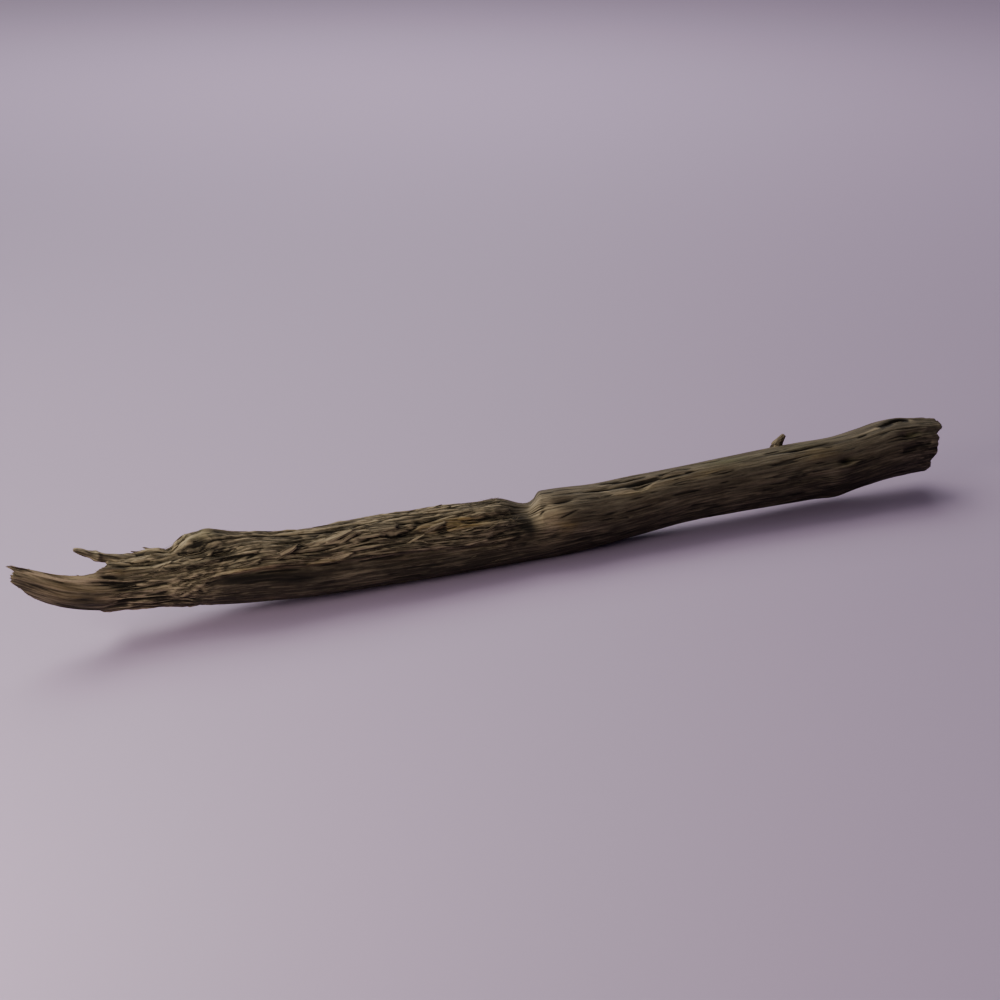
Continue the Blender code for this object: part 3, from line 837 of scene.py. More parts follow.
@dataclass(frozen=True)
class WoodLines:
    """The single crevices and raised lips that the near side shows, as paths of along and angle."""

    # depth in metres, which also sets their painted shade, half width in degrees, path
    crevices: Sequence[tuple[float, float, Table]] = (
        (0.007, 2.2, ((-1.235, 25), (-1.205, 27), (-1.185, 27), (-1.151, 24), (-1.112, 20), (-1.082, 23),
                      (-1.050, 30))),
        (0.005, 1.8, ((-1.180, 12), (-1.145, 13), (-1.113, 12), (-1.077, 9), (-1.049, 10), (-1.004, 14))),
        (0.006, 2.2, ((-1.161, 95), (-1.123, 74), (-1.074, 63), (-1.035, 58), (-1.000, 58))),
        (0.014, 3.4, ((-0.988, 73), (-0.962, 68), (-0.937, 63), (-0.918, 59), (-0.902, 56))),
        (0.011, 5.5, ((-0.914, 54), (-0.880, 54), (-0.838, 58))),
        (0.005, 2.0, ((-0.825, 33), (-0.814, 35), (-0.790, 41), (-0.773, 51), (-0.765, 53))),
        (0.005, 1.8, ((-0.858, 33), (-0.848, 35), (-0.831, 39), (-0.822, 40))),
        (0.004, 1.6, ((-0.898, 38), (-0.868, 37), (-0.840, 38))),
        (0.005, 1.8, ((-1.066, -13), (-1.056, -11), (-1.033, -7), (-1.015, 0), (-0.994, 11), (-0.970, 19))),
        (0.005, 1.8, ((-1.010, -20), (-0.996, -16), (-0.965, 2), (-0.936, 12), (-0.915, 22))),
        (0.004, 1.8, ((-0.990, -27), (-0.982, -24), (-0.951, -11), (-0.924, 2), (-0.918, 6))),
        (0.004, 1.6, ((-0.895, 23), (-0.888, 24), (-0.849, 24), (-0.815, 25), (-0.770, 26))),
        (0.006, 1.8, ((-0.745, 35), (-0.685, 38), (-0.635, 37), (-0.590, 37), (-0.560, 44))),
        (0.005, 1.6, ((-0.750, 25), (-0.705, 28), (-0.650, 31), (-0.600, 30))),
        (0.005, 2.0, ((-0.625, 68), (-0.583, 62), (-0.550, 63))),
        (0.005, 1.8, ((-0.560, 66), (-0.515, 73), (-0.489, 77), (-0.466, 68), (-0.435, 75), (-0.405, 76))),
        (0.009, 2.4, ((-0.543, 33), (-0.513, 37), (-0.478, 46), (-0.444, 47), (-0.418, 42), (-0.383, 44),
                      (-0.356, 52), (-0.329, 58), (-0.285, 70))),
        (0.004, 1.6, ((-0.640, 13), (-0.598, 13), (-0.560, 14))),
        (0.003, 1.4, ((-0.527, 9), (-0.457, 10), (-0.405, 11))),
        (0.005, 1.8, ((-0.290, 69), (-0.242, 67), (-0.195, 69))),
        (0.005, 1.8, ((-0.240, 51), (-0.183, 54), (-0.125, 55))),
        (0.004, 1.6, ((-0.195, 27), (-0.142, 34), (-0.120, 37))),
        (0.005, 1.8, ((-0.250, 22), (-0.200, 22))),
        (0.005, 1.8, ((-0.155, 15), (-0.095, 22))),
        (0.003, 1.4, ((-0.360, 10), (-0.300, 11))),
        (0.003, 1.6, ((-0.004, 49), (0.031, 54), (0.064, 60))),
        (0.003, 1.6, ((0.012, 40), (0.040, 50))),
        (0.0035, 3.0, ((0.045, 57), (0.135, 61))),
        (0.003, 1.4, ((0.060, 27), (0.097, 32), (0.138, 39))),
        (0.004, 1.4, ((-0.008, 9), (0.050, 6), (0.062, 6))),
        (0.006, 3.0, ((0.150, 72), (0.205, 74), (0.262, 72))),
        (0.014, 3.6, ((0.235, 97), (0.289, 91), (0.312, 88), (0.366, 88), (0.390, 90))),
        (0.011, 3.0, ((0.300, 68), (0.396, 70))),
        (0.009, 2.6, ((0.318, 61), (0.404, 64))),
        (0.012, 3.0, ((0.408, 80), (0.445, 84), (0.479, 88), (0.530, 83))),
        (0.005, 2.2, ((0.500, 72), (0.535, 71))),
        (0.0025, 1.3, ((0.450, 45), (0.506, 49), (0.530, 50))),
        (0.0025, 1.3, ((0.360, 43), (0.402, 42))),
        (0.0030, 1.3, ((0.565, 49), (0.594, 50), (0.613, 50), (0.655, 54))),
        (0.0025, 1.2, ((0.590, 73), (0.670, 76), (0.720, 77))),
        (0.0035, 1.4, ((0.755, 81), (0.838, 82))),
        (0.0030, 1.4, ((0.840, 71), (0.891, 71), (0.930, 74))),
        (0.0040, 1.5, ((0.905, 74), (0.963, 73), (1.022, 73), (1.075, 70))),
        (0.0030, 1.3, ((0.870, 32), (0.950, 33))),
        (0.0040, 1.6, ((1.078, 67), (1.120, 68))),
        (0.0060, 2.4, ((-1.095, 92), (-1.030, 91), (-0.965, 86))),
        (0.0130, 7.0, ((1.160, 80), (1.200, 83), (1.240, 85), (1.295, 87))),
        (0.0035, 1.5, ((1.110, 41), (1.231, 36), (1.362, 40))),
        (0.0035, 4.0, ((1.225, 46), (1.262, 45), (1.300, 47))),
        (0.0040, 1.8, ((1.170, 11), (1.212, 9), (1.242, 8), (1.275, 9))),
        (0.0030, 1.3, ((0.700, -20), (0.800, -24), (0.880, -24))),
        (0.0030, 1.4, ((0.180, 20), (0.300, 17), (0.400, 18))),
        (0.0060, 2.0, ((-0.900, 150), (-0.780, 158), (-0.640, 156))),
        (0.0070, 2.4, ((-0.560, 128), (-0.430, 120), (-0.330, 124))),
        (0.0050, 2.0, ((0.520, 150), (0.640, 146), (0.800, 149))),
        (0.0040, 1.8, ((0.860, 118), (0.980, 114), (1.080, 116))),
    )
    # height in metres, half width in degrees, how pale, path
    lips: Sequence[tuple[float, float, float, Table]] = (
        (0.0024, 1.9, 1.3, ((0.165, 70), (0.192, 71), (0.219, 71), (0.239, 66), (0.251, 56), (0.305, 52),
                            (0.342, 49), (0.384, 60), (0.410, 69), (0.433, 74), (0.510, 77))),
        (0.0030, 3.0, 0.7, ((1.100, 72), (1.187, 80), (1.238, 82), (1.285, 86))),
        (0.0015, 1.5, 0.7, ((-0.540, 11), (-0.457, 12), (-0.405, 14))),
        (0.0035, 4.0, 0.9, ((-0.630, 51), (-0.570, 47), (-0.526, 56), (-0.480, 65))),
        (0.0036, 3.0, 1.0, ((-0.925, 12), (-0.865, 14), (-0.828, 17), (-0.778, 20), (-0.700, 21))),
        (0.0020, 4.0, 0.6, ((-1.155, 110), (-1.111, 84), (-1.052, 72), (-0.990, 66))),
        # the prong's rim: a raised lip whose paleness is a painted highlight
        (0.0040, 6.5, 2.0, ((-1.380, 22), (-1.345, 25), (-1.285, 29), (-1.236, 32), (-1.190, 37),
                            (-1.150, 46))),
        (0.0045, 4.0, 1.1, ((-0.992, 88), (-0.955, 86), (-0.925, 89), (-0.890, 92))),
        (0.0060, 14.0, 0.0, ((-0.940, 98), (-0.905, 98), (-0.868, 98))),
        (0.0070, 16.0, 0.0, ((-1.000, 96), (-0.972, 96), (-0.930, 96))),
        (0.0015, 1.6, 0.5, ((-1.180, 17), (-1.110, 16), (-1.040, 14))),
        (0.0015, 1.6, 0.5, ((-0.380, 36), (-0.362, 30), (-0.330, 27))),
        (0.0015, 1.6, 0.6, ((-0.375, 27), (-0.355, 31), (-0.330, 36))),
        (0.0016, 2.2, 0.6, ((0.975, 15), (1.022, 16), (1.068, 22))),
        (0.0040, 4.0, 0.7, ((-0.912, 54), (-0.903, 58), (-0.894, 62))),
        (0.0110, 9.0, 0.3, ((-1.105, 105), (-1.030, 104), (-0.955, 100))),
    )
    # drops where a sheet of wood has come off: along, angle, half angle, depth, length to the left
    drops: Table = (
        (-0.972, 100, 26, 0.0100, 0.050), (-0.935, 112, 22, 0.0050, 0.030), (-0.640, 52, 10, 0.0045, 0.060),
        (-0.520, 72, 12, 0.0040, 0.080), (-0.360, 60, 12, 0.0045, 0.070), (-0.700, 88, 14, 0.0040, 0.060),
        (-0.250, 40, 9, 0.0035, 0.060), (-0.800, 140, 20, 0.0060, 0.080),
        (-0.300, 170, 20, 0.0060, 0.090), (0.250, 130, 12, 0.0035, 0.080),
    )
    torn_edge: float = 0.050
    drop_edge: tuple[float, float] = (0.006, -0.004)
    blur: float = 1.5
    fading: float = 0.85

    def along_path(self, path: Table, half: float, along: np.ndarray, angle: np.ndarray) -> np.ndarray:
        """Tell how strongly a path is felt at some places.

        Args:
            path: along and angle of its points.
            half: its half width, in degrees.
            along: distances along.
            angle: angles round the heart.

        Returns:
            1 on the path, falling to 0 at its sides and its ends.
        """
        share = np.clip((along - path[0][0]) / (path[-1][0] - path[0][0]), 0.0, 1.0)
        aside = np.abs(wrapped(angle - straight(path, along))) / half
        return np.maximum(0.0, np.sin(np.pi * share)) ** self.fading * np.exp(-aside ** self.blur)

    def dropped(self, along: np.ndarray, angle: np.ndarray) -> np.ndarray:
        """Give the depth where sheets of wood have come off, steep on their right sides.

        Args:
            along: distances along.
            angle: angles round the heart.

        Returns:
            Depths in metres.
        """
        total = np.zeros_like(along)
        around = np.radians(angle)
        torn = along + self.torn_edge * speckle(np.cos(around) * 7.0, np.sin(around) * 7.0, along * 6.0)
        for place, turn, half, depth, length in self.drops:
            ramp = smooth(place - length, place - 0.3 * length, torn)
            edge = smooth(*(place + step for step in self.drop_edge), torn)
            total += depth * ramp * edge * smooth(half, 0.25 * half, np.abs(wrapped(angle - turn)))
        return total

    def relief(self, along: np.ndarray, angle: np.ndarray) -> tuple[np.ndarray, np.ndarray, np.ndarray]:
        """Give the depth of the crevices, the height of the lips, and how pale the lips are.

        Args:
            along: distances along.
            angle: angles round the heart.

        Returns:
            The three of them.
        """
        deep, high, pale = np.zeros_like(along), np.zeros_like(along), np.zeros_like(along)
        for depth, half, path in self.crevices:
            deep = np.maximum(deep, depth * self.along_path(path, half, along, angle))
        for height, half, share, path in self.lips:
            felt = self.along_path(path, half, along, angle)
            high = np.maximum(high, height * felt)
            pale = np.maximum(pale, share * felt)
        return deep, high, pale


@dataclass(frozen=True)
class Surface:
    """What the fine surface is like at some places."""

    height: np.ndarray
    deep: np.ndarray
    pale: np.ndarray
    rot: np.ndarray


@dataclass(frozen=True)
class WoodRelief:
    """The fine relief of the wood, on top of its main form."""

    form: TrunkForm
    lines: WoodLines = WoodLines()
    # bundles, strings and threads of fibre: pattern, height
    fibres: Patterns = (
        (Pattern(0.019, 22.0, (5.0, 5.5)), 0.00208), (Pattern(0.0075, 24.0, (8.1, 3.3)), 0.0016),
        (Pattern(0.0038, 26.0, (2.2, 9.9)), 0.00096),
    )
    # crumbs and lumps, hardly longer than wide: pattern, height
    lumps: Patterns = ((Pattern(0.009, 2.0, (14.0, 6.0)), 0.0009), (Pattern(0.019, 2.0, (3.3, 18.0)), 0.0017))
    # long and short slits: pattern, where they start and are full, depth
    slits: Sequence[tuple[Pattern, float, float, float]] = (
        (Pattern(0.0125, 17.0, (10.3, 6.1)), 0.14, 0.46, 0.0042),
        (Pattern(0.0078, 12.0, (0.4, 12.4)), 0.20, 0.52, 0.00231),
    )
    fibre_sway: Pattern = Pattern(0.075, 2.5, (12.0, 3.0))
    fibre_wander: float = 0.008
    # torn sheets of wood: pattern, how many sheets deep
    sheets: Patterns = (
        (Pattern(0.036, 10.0, (1.7, 15.2)), 3.51), (Pattern(0.016, 14.0, (11.3, 0.7)), 1.17),
        (Pattern(0.0075, 11.0, (6.6, 2.9)), 0.416),
    )
    sheet_step: float = 0.0027
    sheet_tilt: float = 0.80
    shingle_sway: Pattern = Pattern(0.07, 4.0, (21.0, 4.0))
    shingle_wander: float = 14.0
    shingle_height: float = 0.0014
    shingle_length: tuple[float, float] = (0.05, 0.20)
    shingle_backward: float = 0.35
    shingle_angle: float = 5.0
    shingle_count: int = 61
    soft_streaks: Pattern = Pattern(0.017, 20.0, (4.4, 8.8))
    fine_streaks: Pattern = Pattern(0.007, 22.0, (7.7, 0.6))
    streak_height: float = 0.0010
    checks: Pattern = Pattern(0.0085, 15.0, (10.3, 6.1))
    checked: Pattern = Pattern(0.050, 3.0, (0.4, 12.4))
    check_depth: float = 0.0022
    frayed: Pattern = Pattern(0.0085, 9.0, (3.0, 1.0))
    slant: float = 300.0
    slant_height: float = 0.0022
    facet_sizes: Pattern = Pattern(0.040, 1.3, (9.0, 30.0))
    facet_height: float = 0.0060
    line_wobble: Pattern = Pattern(0.030, 3.0, (17.0, 2.0))
    wobble_angle: float = 1.1
    broken_lines: Pattern = Pattern(0.020, 3.5, (8.0, 19.0))
    always_whole: tuple[float, float] = (0.006, 0.010)
    # along, half length, angle and half angle of the frayed spot and of the burl
    frayed_spot: tuple[float, float, float, float] = (-0.985, 0.060, 1.0, 24.0)
    burl_spot: tuple[float, float, float, float] = (-0.925, 0.050, 92.0, 26.0)
    # the prong's smooth face: where it starts along, its middle, and where it fades round the heart
    face_starts: tuple[float, float] = (-1.13, -1.20)
    face_middle: float = -14.0
    face_fades: tuple[float, float] = (40.0, 28.0)
    face_smoothness: float = 0.90
    burl_smoothness: float = 0.55
    cut_smoothness: float = 0.85
    smoothed: float = 0.65
    seed: int = 7

    def shingles(self, along: np.ndarray, column: np.ndarray) -> np.ndarray:
        """Give bundles of fibres that rise along the grain and break off short.

        Args:
            along: distances along.
            column: grain lines, in degrees.

        Returns:
            Heights from 0 to 1.
        """
        dice = np.random.default_rng(self.seed)
        length = dice.uniform(*self.shingle_length, self.shingle_count)
        start = dice.uniform(0.0, 1.0, self.shingle_count)
        backward = dice.random(self.shingle_count) < self.shingle_backward
        height = dice.uniform(0.2, 1.0, self.shingle_count)
        swayed = wrapped(column) + self.shingle_wander * self.form.grain_noise(along, column, self.shingle_sway)
        bundle = np.floor(swayed / self.shingle_angle).astype(int) % self.shingle_count
        phase = (along / length[bundle] + start[bundle]) % 1.0
        phase = np.where(backward[bundle], 1.0 - phase, phase)
        return height[bundle] * phase ** 1.3 * smooth(1.0, 0.95, phase)

    def layered(self, along: np.ndarray, column: np.ndarray) -> np.ndarray:
        """Give the torn sheets of wood, one step down from each to the next.

        Args:
            along: distances along.
            column: grain lines, in degrees.

        Returns:
            Heights in steps.
        """
        level = sum(count * self.form.grain_noise(along, column, pattern) for pattern, count in self.sheets)
        step = np.floor(level) + smooth(0.84, 1.0, level % 1.0)
        return step - self.sheet_tilt * level

    def rough(self, along: np.ndarray, column: np.ndarray) -> np.ndarray:
        """Give the relief of rotted wood.

        Args:
            along: distances along.
            column: grain lines, in degrees.

        Returns:
            Heights in metres.
        """
        sway = self.fibre_wander * self.form.grain_noise(along, column, self.fibre_sway)
        rise = self.sheet_step * self.layered(along, column)
        rise += self.shingle_height * (self.shingles(along, column) - 0.3)
        for pattern, height in self.fibres:
            rise += height * self.form.grain_noise(along, column, pattern, sway)
        for pattern, height in self.lumps:
            rise += height * self.form.grain_noise(along, column, pattern)
        for pattern, start, full, depth in self.slits:
            rise -= depth * smooth(start, full, self.form.grain_noise(along, column, pattern, sway))
        return rise

    def slanted(self, along: np.ndarray, angle: np.ndarray) -> np.ndarray:
        """Give the frayed fibres that cross the grain where the ledge begins.

        Args:
            along: distances along.
            angle: angles round the heart.

        Returns:
            Heights in metres.
        """
        where = self.spot(self.frayed_spot, along, angle)
        across = angle - self.slant * (along + 0.98)
        teeth = self.form.grain_noise(along, across, self.frayed)
        return self.slant_height * where * (2.4 * np.abs(teeth) - 0.4)

    def sound(self, along: np.ndarray, column: np.ndarray) -> np.ndarray:
        """Give the relief of sound wood: long soft streaks and a few short checks.

        Args:
            along: distances along.
            column: grain lines, in degrees.

        Returns:
            Heights in metres.
        """
        soft = self.form.grain_noise(along, column, self.soft_streaks)
        fine = self.form.grain_noise(along, column, self.fine_streaks)
        where = smooth(-0.10, 0.15, self.form.grain_noise(along, column, self.checked))
        checks = smooth(0.30, 0.58, self.form.grain_noise(along, column, self.checks))
        return self.streak_height * (soft + 0.5 * fine) - self.check_depth * checks * where

    def rotted(self, along: np.ndarray, angle: np.ndarray) -> np.ndarray:
        """Tell how rotted the fine surface is.

        Args:
            along: distances along.
            angle: angles round the heart.

        Returns:
            Shares from 0 to 1, less on the notch's wall, the prong, the burl and under the ledge.
        """
        wall = self.form.notch_wall
        aside = self.form.beside_notch(along, angle)
        below = self.form.below_ledge(along, angle)
        cut = bell(aside, 0.5 * wall, 0.6 * wall) * smooth(0.0, 25.0, wrapped(angle))
        under = smooth(0.0, 3.0, below) * smooth(60.0, 40.0, below) * self.form.ledge_strength(along)
        rot = self.form.roughness(along, angle)
        rot = rot * (1.0 - self.cut_smoothness * cut) * (1.0 - self.cut_smoothness * under)
        rot = rot * (1.0 - self.face_smoothness * self.face(along, angle))
        return rot * (1.0 - self.burl_smoothness * self.burl(along, angle))

    def spot(self, sizes: tuple[float, ...], along: np.ndarray, angle: np.ndarray) -> np.ndarray:
        """Tell how strongly a soft spot is felt.

        Args:
            sizes: its along, half length, angle and half angle.
            along: distances along.
            angle: angles round the heart.

        Returns:
            Shares from 0 to 1.
        """
        place, half_length, turn, half_angle = sizes
        return bell(along, place, half_length) * bell(wrapped(angle - turn), 0.0, half_angle)

    def face(self, along: np.ndarray, angle: np.ndarray) -> np.ndarray:
        """Tell where the smooth outer face of the long prong is."""
        aside = np.abs(wrapped(angle - self.face_middle))
        return smooth(*self.face_starts, along) * smooth(*self.face_fades, aside)

    def burl(self, along: np.ndarray, angle: np.ndarray) -> np.ndarray:
        """Tell where the burl is."""
        return self.spot(self.burl_spot, along, angle)

    def facets(self, along: np.ndarray, column: np.ndarray) -> np.ndarray:
        """Give flat sides that meet in edges, between about -1 and 0.5."""
        return 0.5 - 2.2 * np.abs(self.form.grain_noise(along, column, self.facet_sizes))

    def torn_end(self, turn: np.ndarray, share: np.ndarray) -> np.ndarray:
        """Tell how far the fibre bundles of a break stand out.

        Args:
            turn: directions round the heart, in radians.
            share: shares of the radius.

        Returns:
            Values between about -1 and 1.
        """
        across, upward = share * np.cos(turn), share * np.sin(turn)
        bundles = speckle(across * 6.0, upward * 6.0, 3.0)
        return 1.3 * bundles + 0.9 * speckle(across * 15.0, upward * 15.0, 9.0)

    def surface(self, along: np.ndarray, column: np.ndarray, angle: np.ndarray) -> Surface:
        """Give the whole fine surface.

        Args:
            along: distances along.
            column: grain lines, in degrees.
            angle: angles round the heart.

        Returns:
            Its height over the main form in metres, how deep the crevices are, and how pale and how
            rotted it is.
        """
        rot = self.rotted(along, angle)
        wobble = self.wobble_angle * self.form.grain_noise(along, column, self.line_wobble)
        deep, high, pale = self.lines.relief(along, angle + wobble)
        whole = smooth(-0.35, 0.20, self.form.grain_noise(along, column, self.broken_lines))
        whole = np.maximum(whole, smooth(*self.always_whole, deep))
        deep = deep * (1.0 - (1.0 - whole) * (0.75 - 0.40 * rot))
        height = rot * self.rough(along, column) + (1.0 - rot) * self.sound(along, column)
        height += self.slanted(along, angle) + high * (0.6 + 0.4 * rot) - deep
        height -= self.lines.dropped(along, angle)
        height += self.facet_height * self.burl(along, angle) * self.facets(along, column)
        height -= self.smoothed * self.face(along, angle) * self.form.furrows(along, column)
        return Surface(height, deep, pale, rot)


@dataclass
class TrunkBody:
    """The body of the trunk, from its forked left end to its stepped right end."""

    form: TrunkForm
    relief: WoodRelief
    wood: bpy.types.Material
    columns: int = 216
    rows: int = 416
    front: float = 35.0
    crowding: float = 18.0
    rough_rows: float = 0.6
    # places that need closer rows: along, half length, how much closer
    close_rows: Table = (
        (-1.07, 0.10, 1.3), (-0.90, 0.08, 0.8), (0.01, 0.07, 1.1), (0.34, 0.14, 0.3), (1.02, 0.05, 0.9),
        (1.31, 0.08, 0.6),
    )
    left_cap: tuple[float, ...] = (
        0.96, 0.92, 0.87, 0.82, 0.77, 0.73, 0.70, 0.67, 0.64, 0.60, 0.52, 0.44, 0.35, 0.26, 0.17, 0.08,
    )
    right_cap: tuple[float, ...] = (
        0.97, 0.93, 0.89, 0.85, 0.80, 0.75, 0.70, 0.65, 0.60, 0.55, 0.50, 0.45, 0.40, 0.35, 0.30, 0.25, 0.19,
        0.13, 0.07,
    )
    torn_length: float = 0.009
    # what each point's relief is measured against for the painted shade: rows and columns near it, height that
    # counts as full, weight
    around: Table = ((3, 2, 0.0013, 0.55), (10, 7, 0.0048, 0.75))
    # crevice depth that gets the full painted shade
    full_shade_depth: float = 0.008
    torn_rot: float = 0.7
    row_places: np.ndarray = field(init=False)

    def __post_init__(self) -> None:
        """Place the rows, closer together where the form changes fast."""
        fine = np.linspace(self.form.left, self.form.right, 4001)
        density = 1.0 + self.rough_rows * smooth(0.10, -0.05, fine)
        for place, half, extra in self.close_rows:
            density += extra * bell(fine, place, half)
        count = np.concatenate(([0.0], np.cumsum(density[1:] + density[:-1])))
        self.row_places = np.interp(np.linspace(0.0, count[-1], self.rows + 1), count, fine)

    def hollows(self, height: np.ndarray, row: np.ndarray, column: np.ndarray, side: np.ndarray) -> np.ndarray:
        """Tell how deep each point lies among its neighbours.

        Args:
            height: relief of each point, in metres.
            row: its row.
            column: its column.
            side: which points are on the side of the log.

        Returns:
            -1 in a deep crevice to 1 on a proud edge, and 0 on the end faces.
        """
        grid = np.zeros((self.rows + 1, self.columns))
        grid[row[side], column[side]] = height[side]
        deep = np.zeros_like(grid)
        for rows, columns, full, weight in self.around:
            deep += weight * ((grid - spread(grid, rows, columns)) / full)
        return np.where(side, np.clip(deep, -1.0, 1.0)[row, column], 0.0)

    def build(self) -> bpy.types.Object:
        """Build the body.

        Returns:
            The finished piece.
        """
        log = round_stick("trunk_body", self.columns, self.rows, self.left_cap, self.right_cap, mirrored=True)
        unit = points_of(log)
        share = np.minimum(1.0, np.hypot(unit[:, 0], unit[:, 1]))
        turn = np.degrees(np.arctan2(unit[:, 1], unit[:, 0]))
        side = share > ON_SIDE
        row = np.rint((unit[:, 2] + 0.5) * self.rows).astype(int)
        number = np.rint(turn / 360.0 * self.columns).astype(int) % self.columns
        column = turn - self.crowding * np.sin(np.radians(turn - self.front))
        along = self.row_places[row]
        along = self.form.drawn_out(along, self.form.grain_angle(along, column), share)
        torn = self.relief.torn_end(np.radians(turn), share)
        along += np.sign(unit[:, 2]) * self.torn_length * torn * smooth(1.0, 0.93, share)
        angle = self.form.grain_angle(along, column)
        skin = self.relief.surface(along, column, angle)
        log.vertices.foreach_set("co", self.form.places(along, column, share, skin.height).ravel())
        marks = WoodMarks(self.form)
        # painted shade in crevices, hollows and under overhangs; painted highlight on proud edges and on the
        # bundles that stand out of the end faces
        deep = self.hollows(skin.height + self.form.grooves(along, angle), row, number, side)
        deep *= 1.0 - 0.6 * self.relief.face(along, angle)
        deep = np.clip(deep - skin.deep / self.full_shade_depth - marks.shadows(along, angle), -1.0, 1.0)
        deep = np.where(side, deep, np.clip(0.8 * torn - 0.2, -1.0, 1.0))
        rot = np.where(side, skin.rot, self.torn_rot)
        marks.mark(log, along, column, angle, share, deep, rot, skin.pale * side)
        body = finished("trunk_body", log, self.wood)
        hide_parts(NODE)
        return body


@dataclass(frozen=True)
class WoodMarks:
    """Where the wood is torn pale, stained or green, and where painted highlights and painted shade lie on it.
    """

    form: TrunkForm
    # along, angle, half length, half angle, strength
    # pale torn wood, with painted highlights on the prong's rim and on the bulge beside the knot
    pale_and_highlight_spots: Table = (
        (0.040, 42, 0.038, 40, 1.2), (-0.70, 38, 0.060, 6, 0.6), (-0.565, 54, 0.070, 9, 1.5),
        (-0.565, 24, 0.040, 4, 1.0), (-0.30, 50, 0.080, 12, 0.35), (0.30, 56, 0.120, 5, 0.8),
        (-1.05, 70, 0.080, 8, 0.5), (-1.27, 33, 0.100, 5, 1.2), (-0.83, 15, 0.080, 4, 0.8),
        (-0.97, 0, 0.060, 18, 0.5), (-1.06, 8, 0.060, 14, 0.35), (-0.24, 33, 0.060, 5, 0.5),
        (0.20, 80, 0.060, 7, 0.5), (0.48, 76, 0.090, 5, 0.5), (0.972, 8, 0.028, 8, 0.45),
        (-1.26, 5, 0.110, 20, 0.22),
    )
    ochre_spots: Table = (
        (-0.245, 51, 0.080, 11, 2.4), (-0.80, 17, 0.080, 4, 0.7), (-0.62, 18, 0.050, 4, 0.5),
        (0.085, 14, 0.030, 8, 0.5), (0.93, 54, 0.060, 12, 0.7), (-1.13, 48, 0.040, 8, 0.4),
        (0.33, 52, 0.060, 6, 0.5), (0.55, 60, 0.120, 9, 0.4), (0.05, 30, 0.05, 30, 0.25),
        (-1.26, 0, 0.10, 20, 0.35),
    )
    green_spots: Table = (
        (0.64, 86, 0.080, 16, 0.8), (-0.92, 88, 0.050, 18, 0.5), (1.265, 44, 0.040, 9, 0.7),
        (-1.07, 40, 0.060, 16, 0.3), (1.015, 27, 0.03, 8, 0.7), (0.90, 84, 0.10, 12, 0.5),
    )
    # painted shade: dark spots in hollows and under overhangs; negative ones take painted shade away, and on
    # the prong's rim give a painted highlight
    painted_shade_spots: Table = (
        (-0.052, 60, 0.034, 44, 0.60), (-0.020, 22, 0.020, 20, 0.70), (-0.83, 1, 0.100, 8, 0.95),
        (-0.70, -7, 0.080, 7, 0.70), (-0.60, 6, 0.140, 6, 0.35), (-0.940, 64, 0.034, 6, 1.20),
        (-0.868, 54, 0.034, 9, 1.00), (-0.945, 74, 0.036, 5, 0.40), (-0.920, 47, 0.060, 9, 0.50),
        (-1.275, 29, 0.080, 7, -0.90), (1.022, 27, 0.028, 7, 0.60), (0.350, 65, 0.034, 6, 0.55),
        (1.230, 83, 0.036, 8, 0.90), (1.255, 45, 0.030, 9, -0.35), (-1.225, -22, 0.045, 30, 0.50),
        (-1.14, 18, 0.080, 5, 0.40), (0.585, 24, 0.090, 6, 0.30), (0.30, 90, 0.09, 5, 0.25),
    )

    def shadows(self, along: np.ndarray, angle: np.ndarray) -> np.ndarray:
        """Tell where painted shade keeps the wood dark."""
        return self.spots(self.painted_shade_spots, along, angle)

    def spots(self, sizes: Table, along: np.ndarray, angle: np.ndarray) -> np.ndarray:
        """Sum soft spots.

        Args:
            sizes: along, angle, half length, half angle and strength of each.
            along: distances along.
            angle: angles round the heart.

        Returns:
            Shares from 0 to 1.
        """
        return np.clip(soft_spots(sizes, along, angle), -1.0, 1.0)

    def mark(self, mesh: bpy.types.Mesh, along: np.ndarray, column: np.ndarray, angle: np.ndarray,
             share: np.ndarray, deep: np.ndarray, rot: np.ndarray, pale: np.ndarray) -> None:
        """Write the attributes that the wood's finish reads.

        Args:
            mesh: the mesh.
            along: distances along.
            column: grain lines, in degrees.
            angle: angles round the heart.
            share: shares of the radius.
            deep: -1 in crevices to 1 on proud edges.
            rot: how rotted the wood is.
            pale: how pale its own fibres are.
        """
        turn = np.radians(column)
        radius = self.form.heart(along)[1] * share
        set_attribute(mesh, "grain", np.stack((along, radius * np.cos(turn), radius * np.sin(turn)), axis=-1))
        set_attribute(mesh, "hollow", deep)
        set_attribute(mesh, "rot", rot)
        set_attribute(mesh, "sky", upward_facing(angle, share))
        set_attribute(mesh, "pale", np.maximum(pale, self.spots(self.pale_and_highlight_spots, along, angle)))
        set_attribute(mesh, "ochre", self.spots(self.ochre_spots, along, angle))
        set_attribute(mesh, "green", self.spots(self.green_spots, along, angle))


def dress(mesh: bpy.types.Mesh, grain: np.ndarray, **shares: np.ndarray | float) -> None:
    """Write the attributes of a small piece of wood.

    Args:
        mesh: its mesh.
        grain: one row of grain coordinates for each point.
        shares: values of hollow, rot, sky, pale, ochre and green; those left out are 0.
    """
    set_attribute(mesh, "grain", grain)
    for name in ("hollow", "rot", "sky", "pale", "ochre", "green"):
        values = np.broadcast_to(shares.get(name, 0.0), (len(mesh.vertices),))
        set_attribute(mesh, name, values)


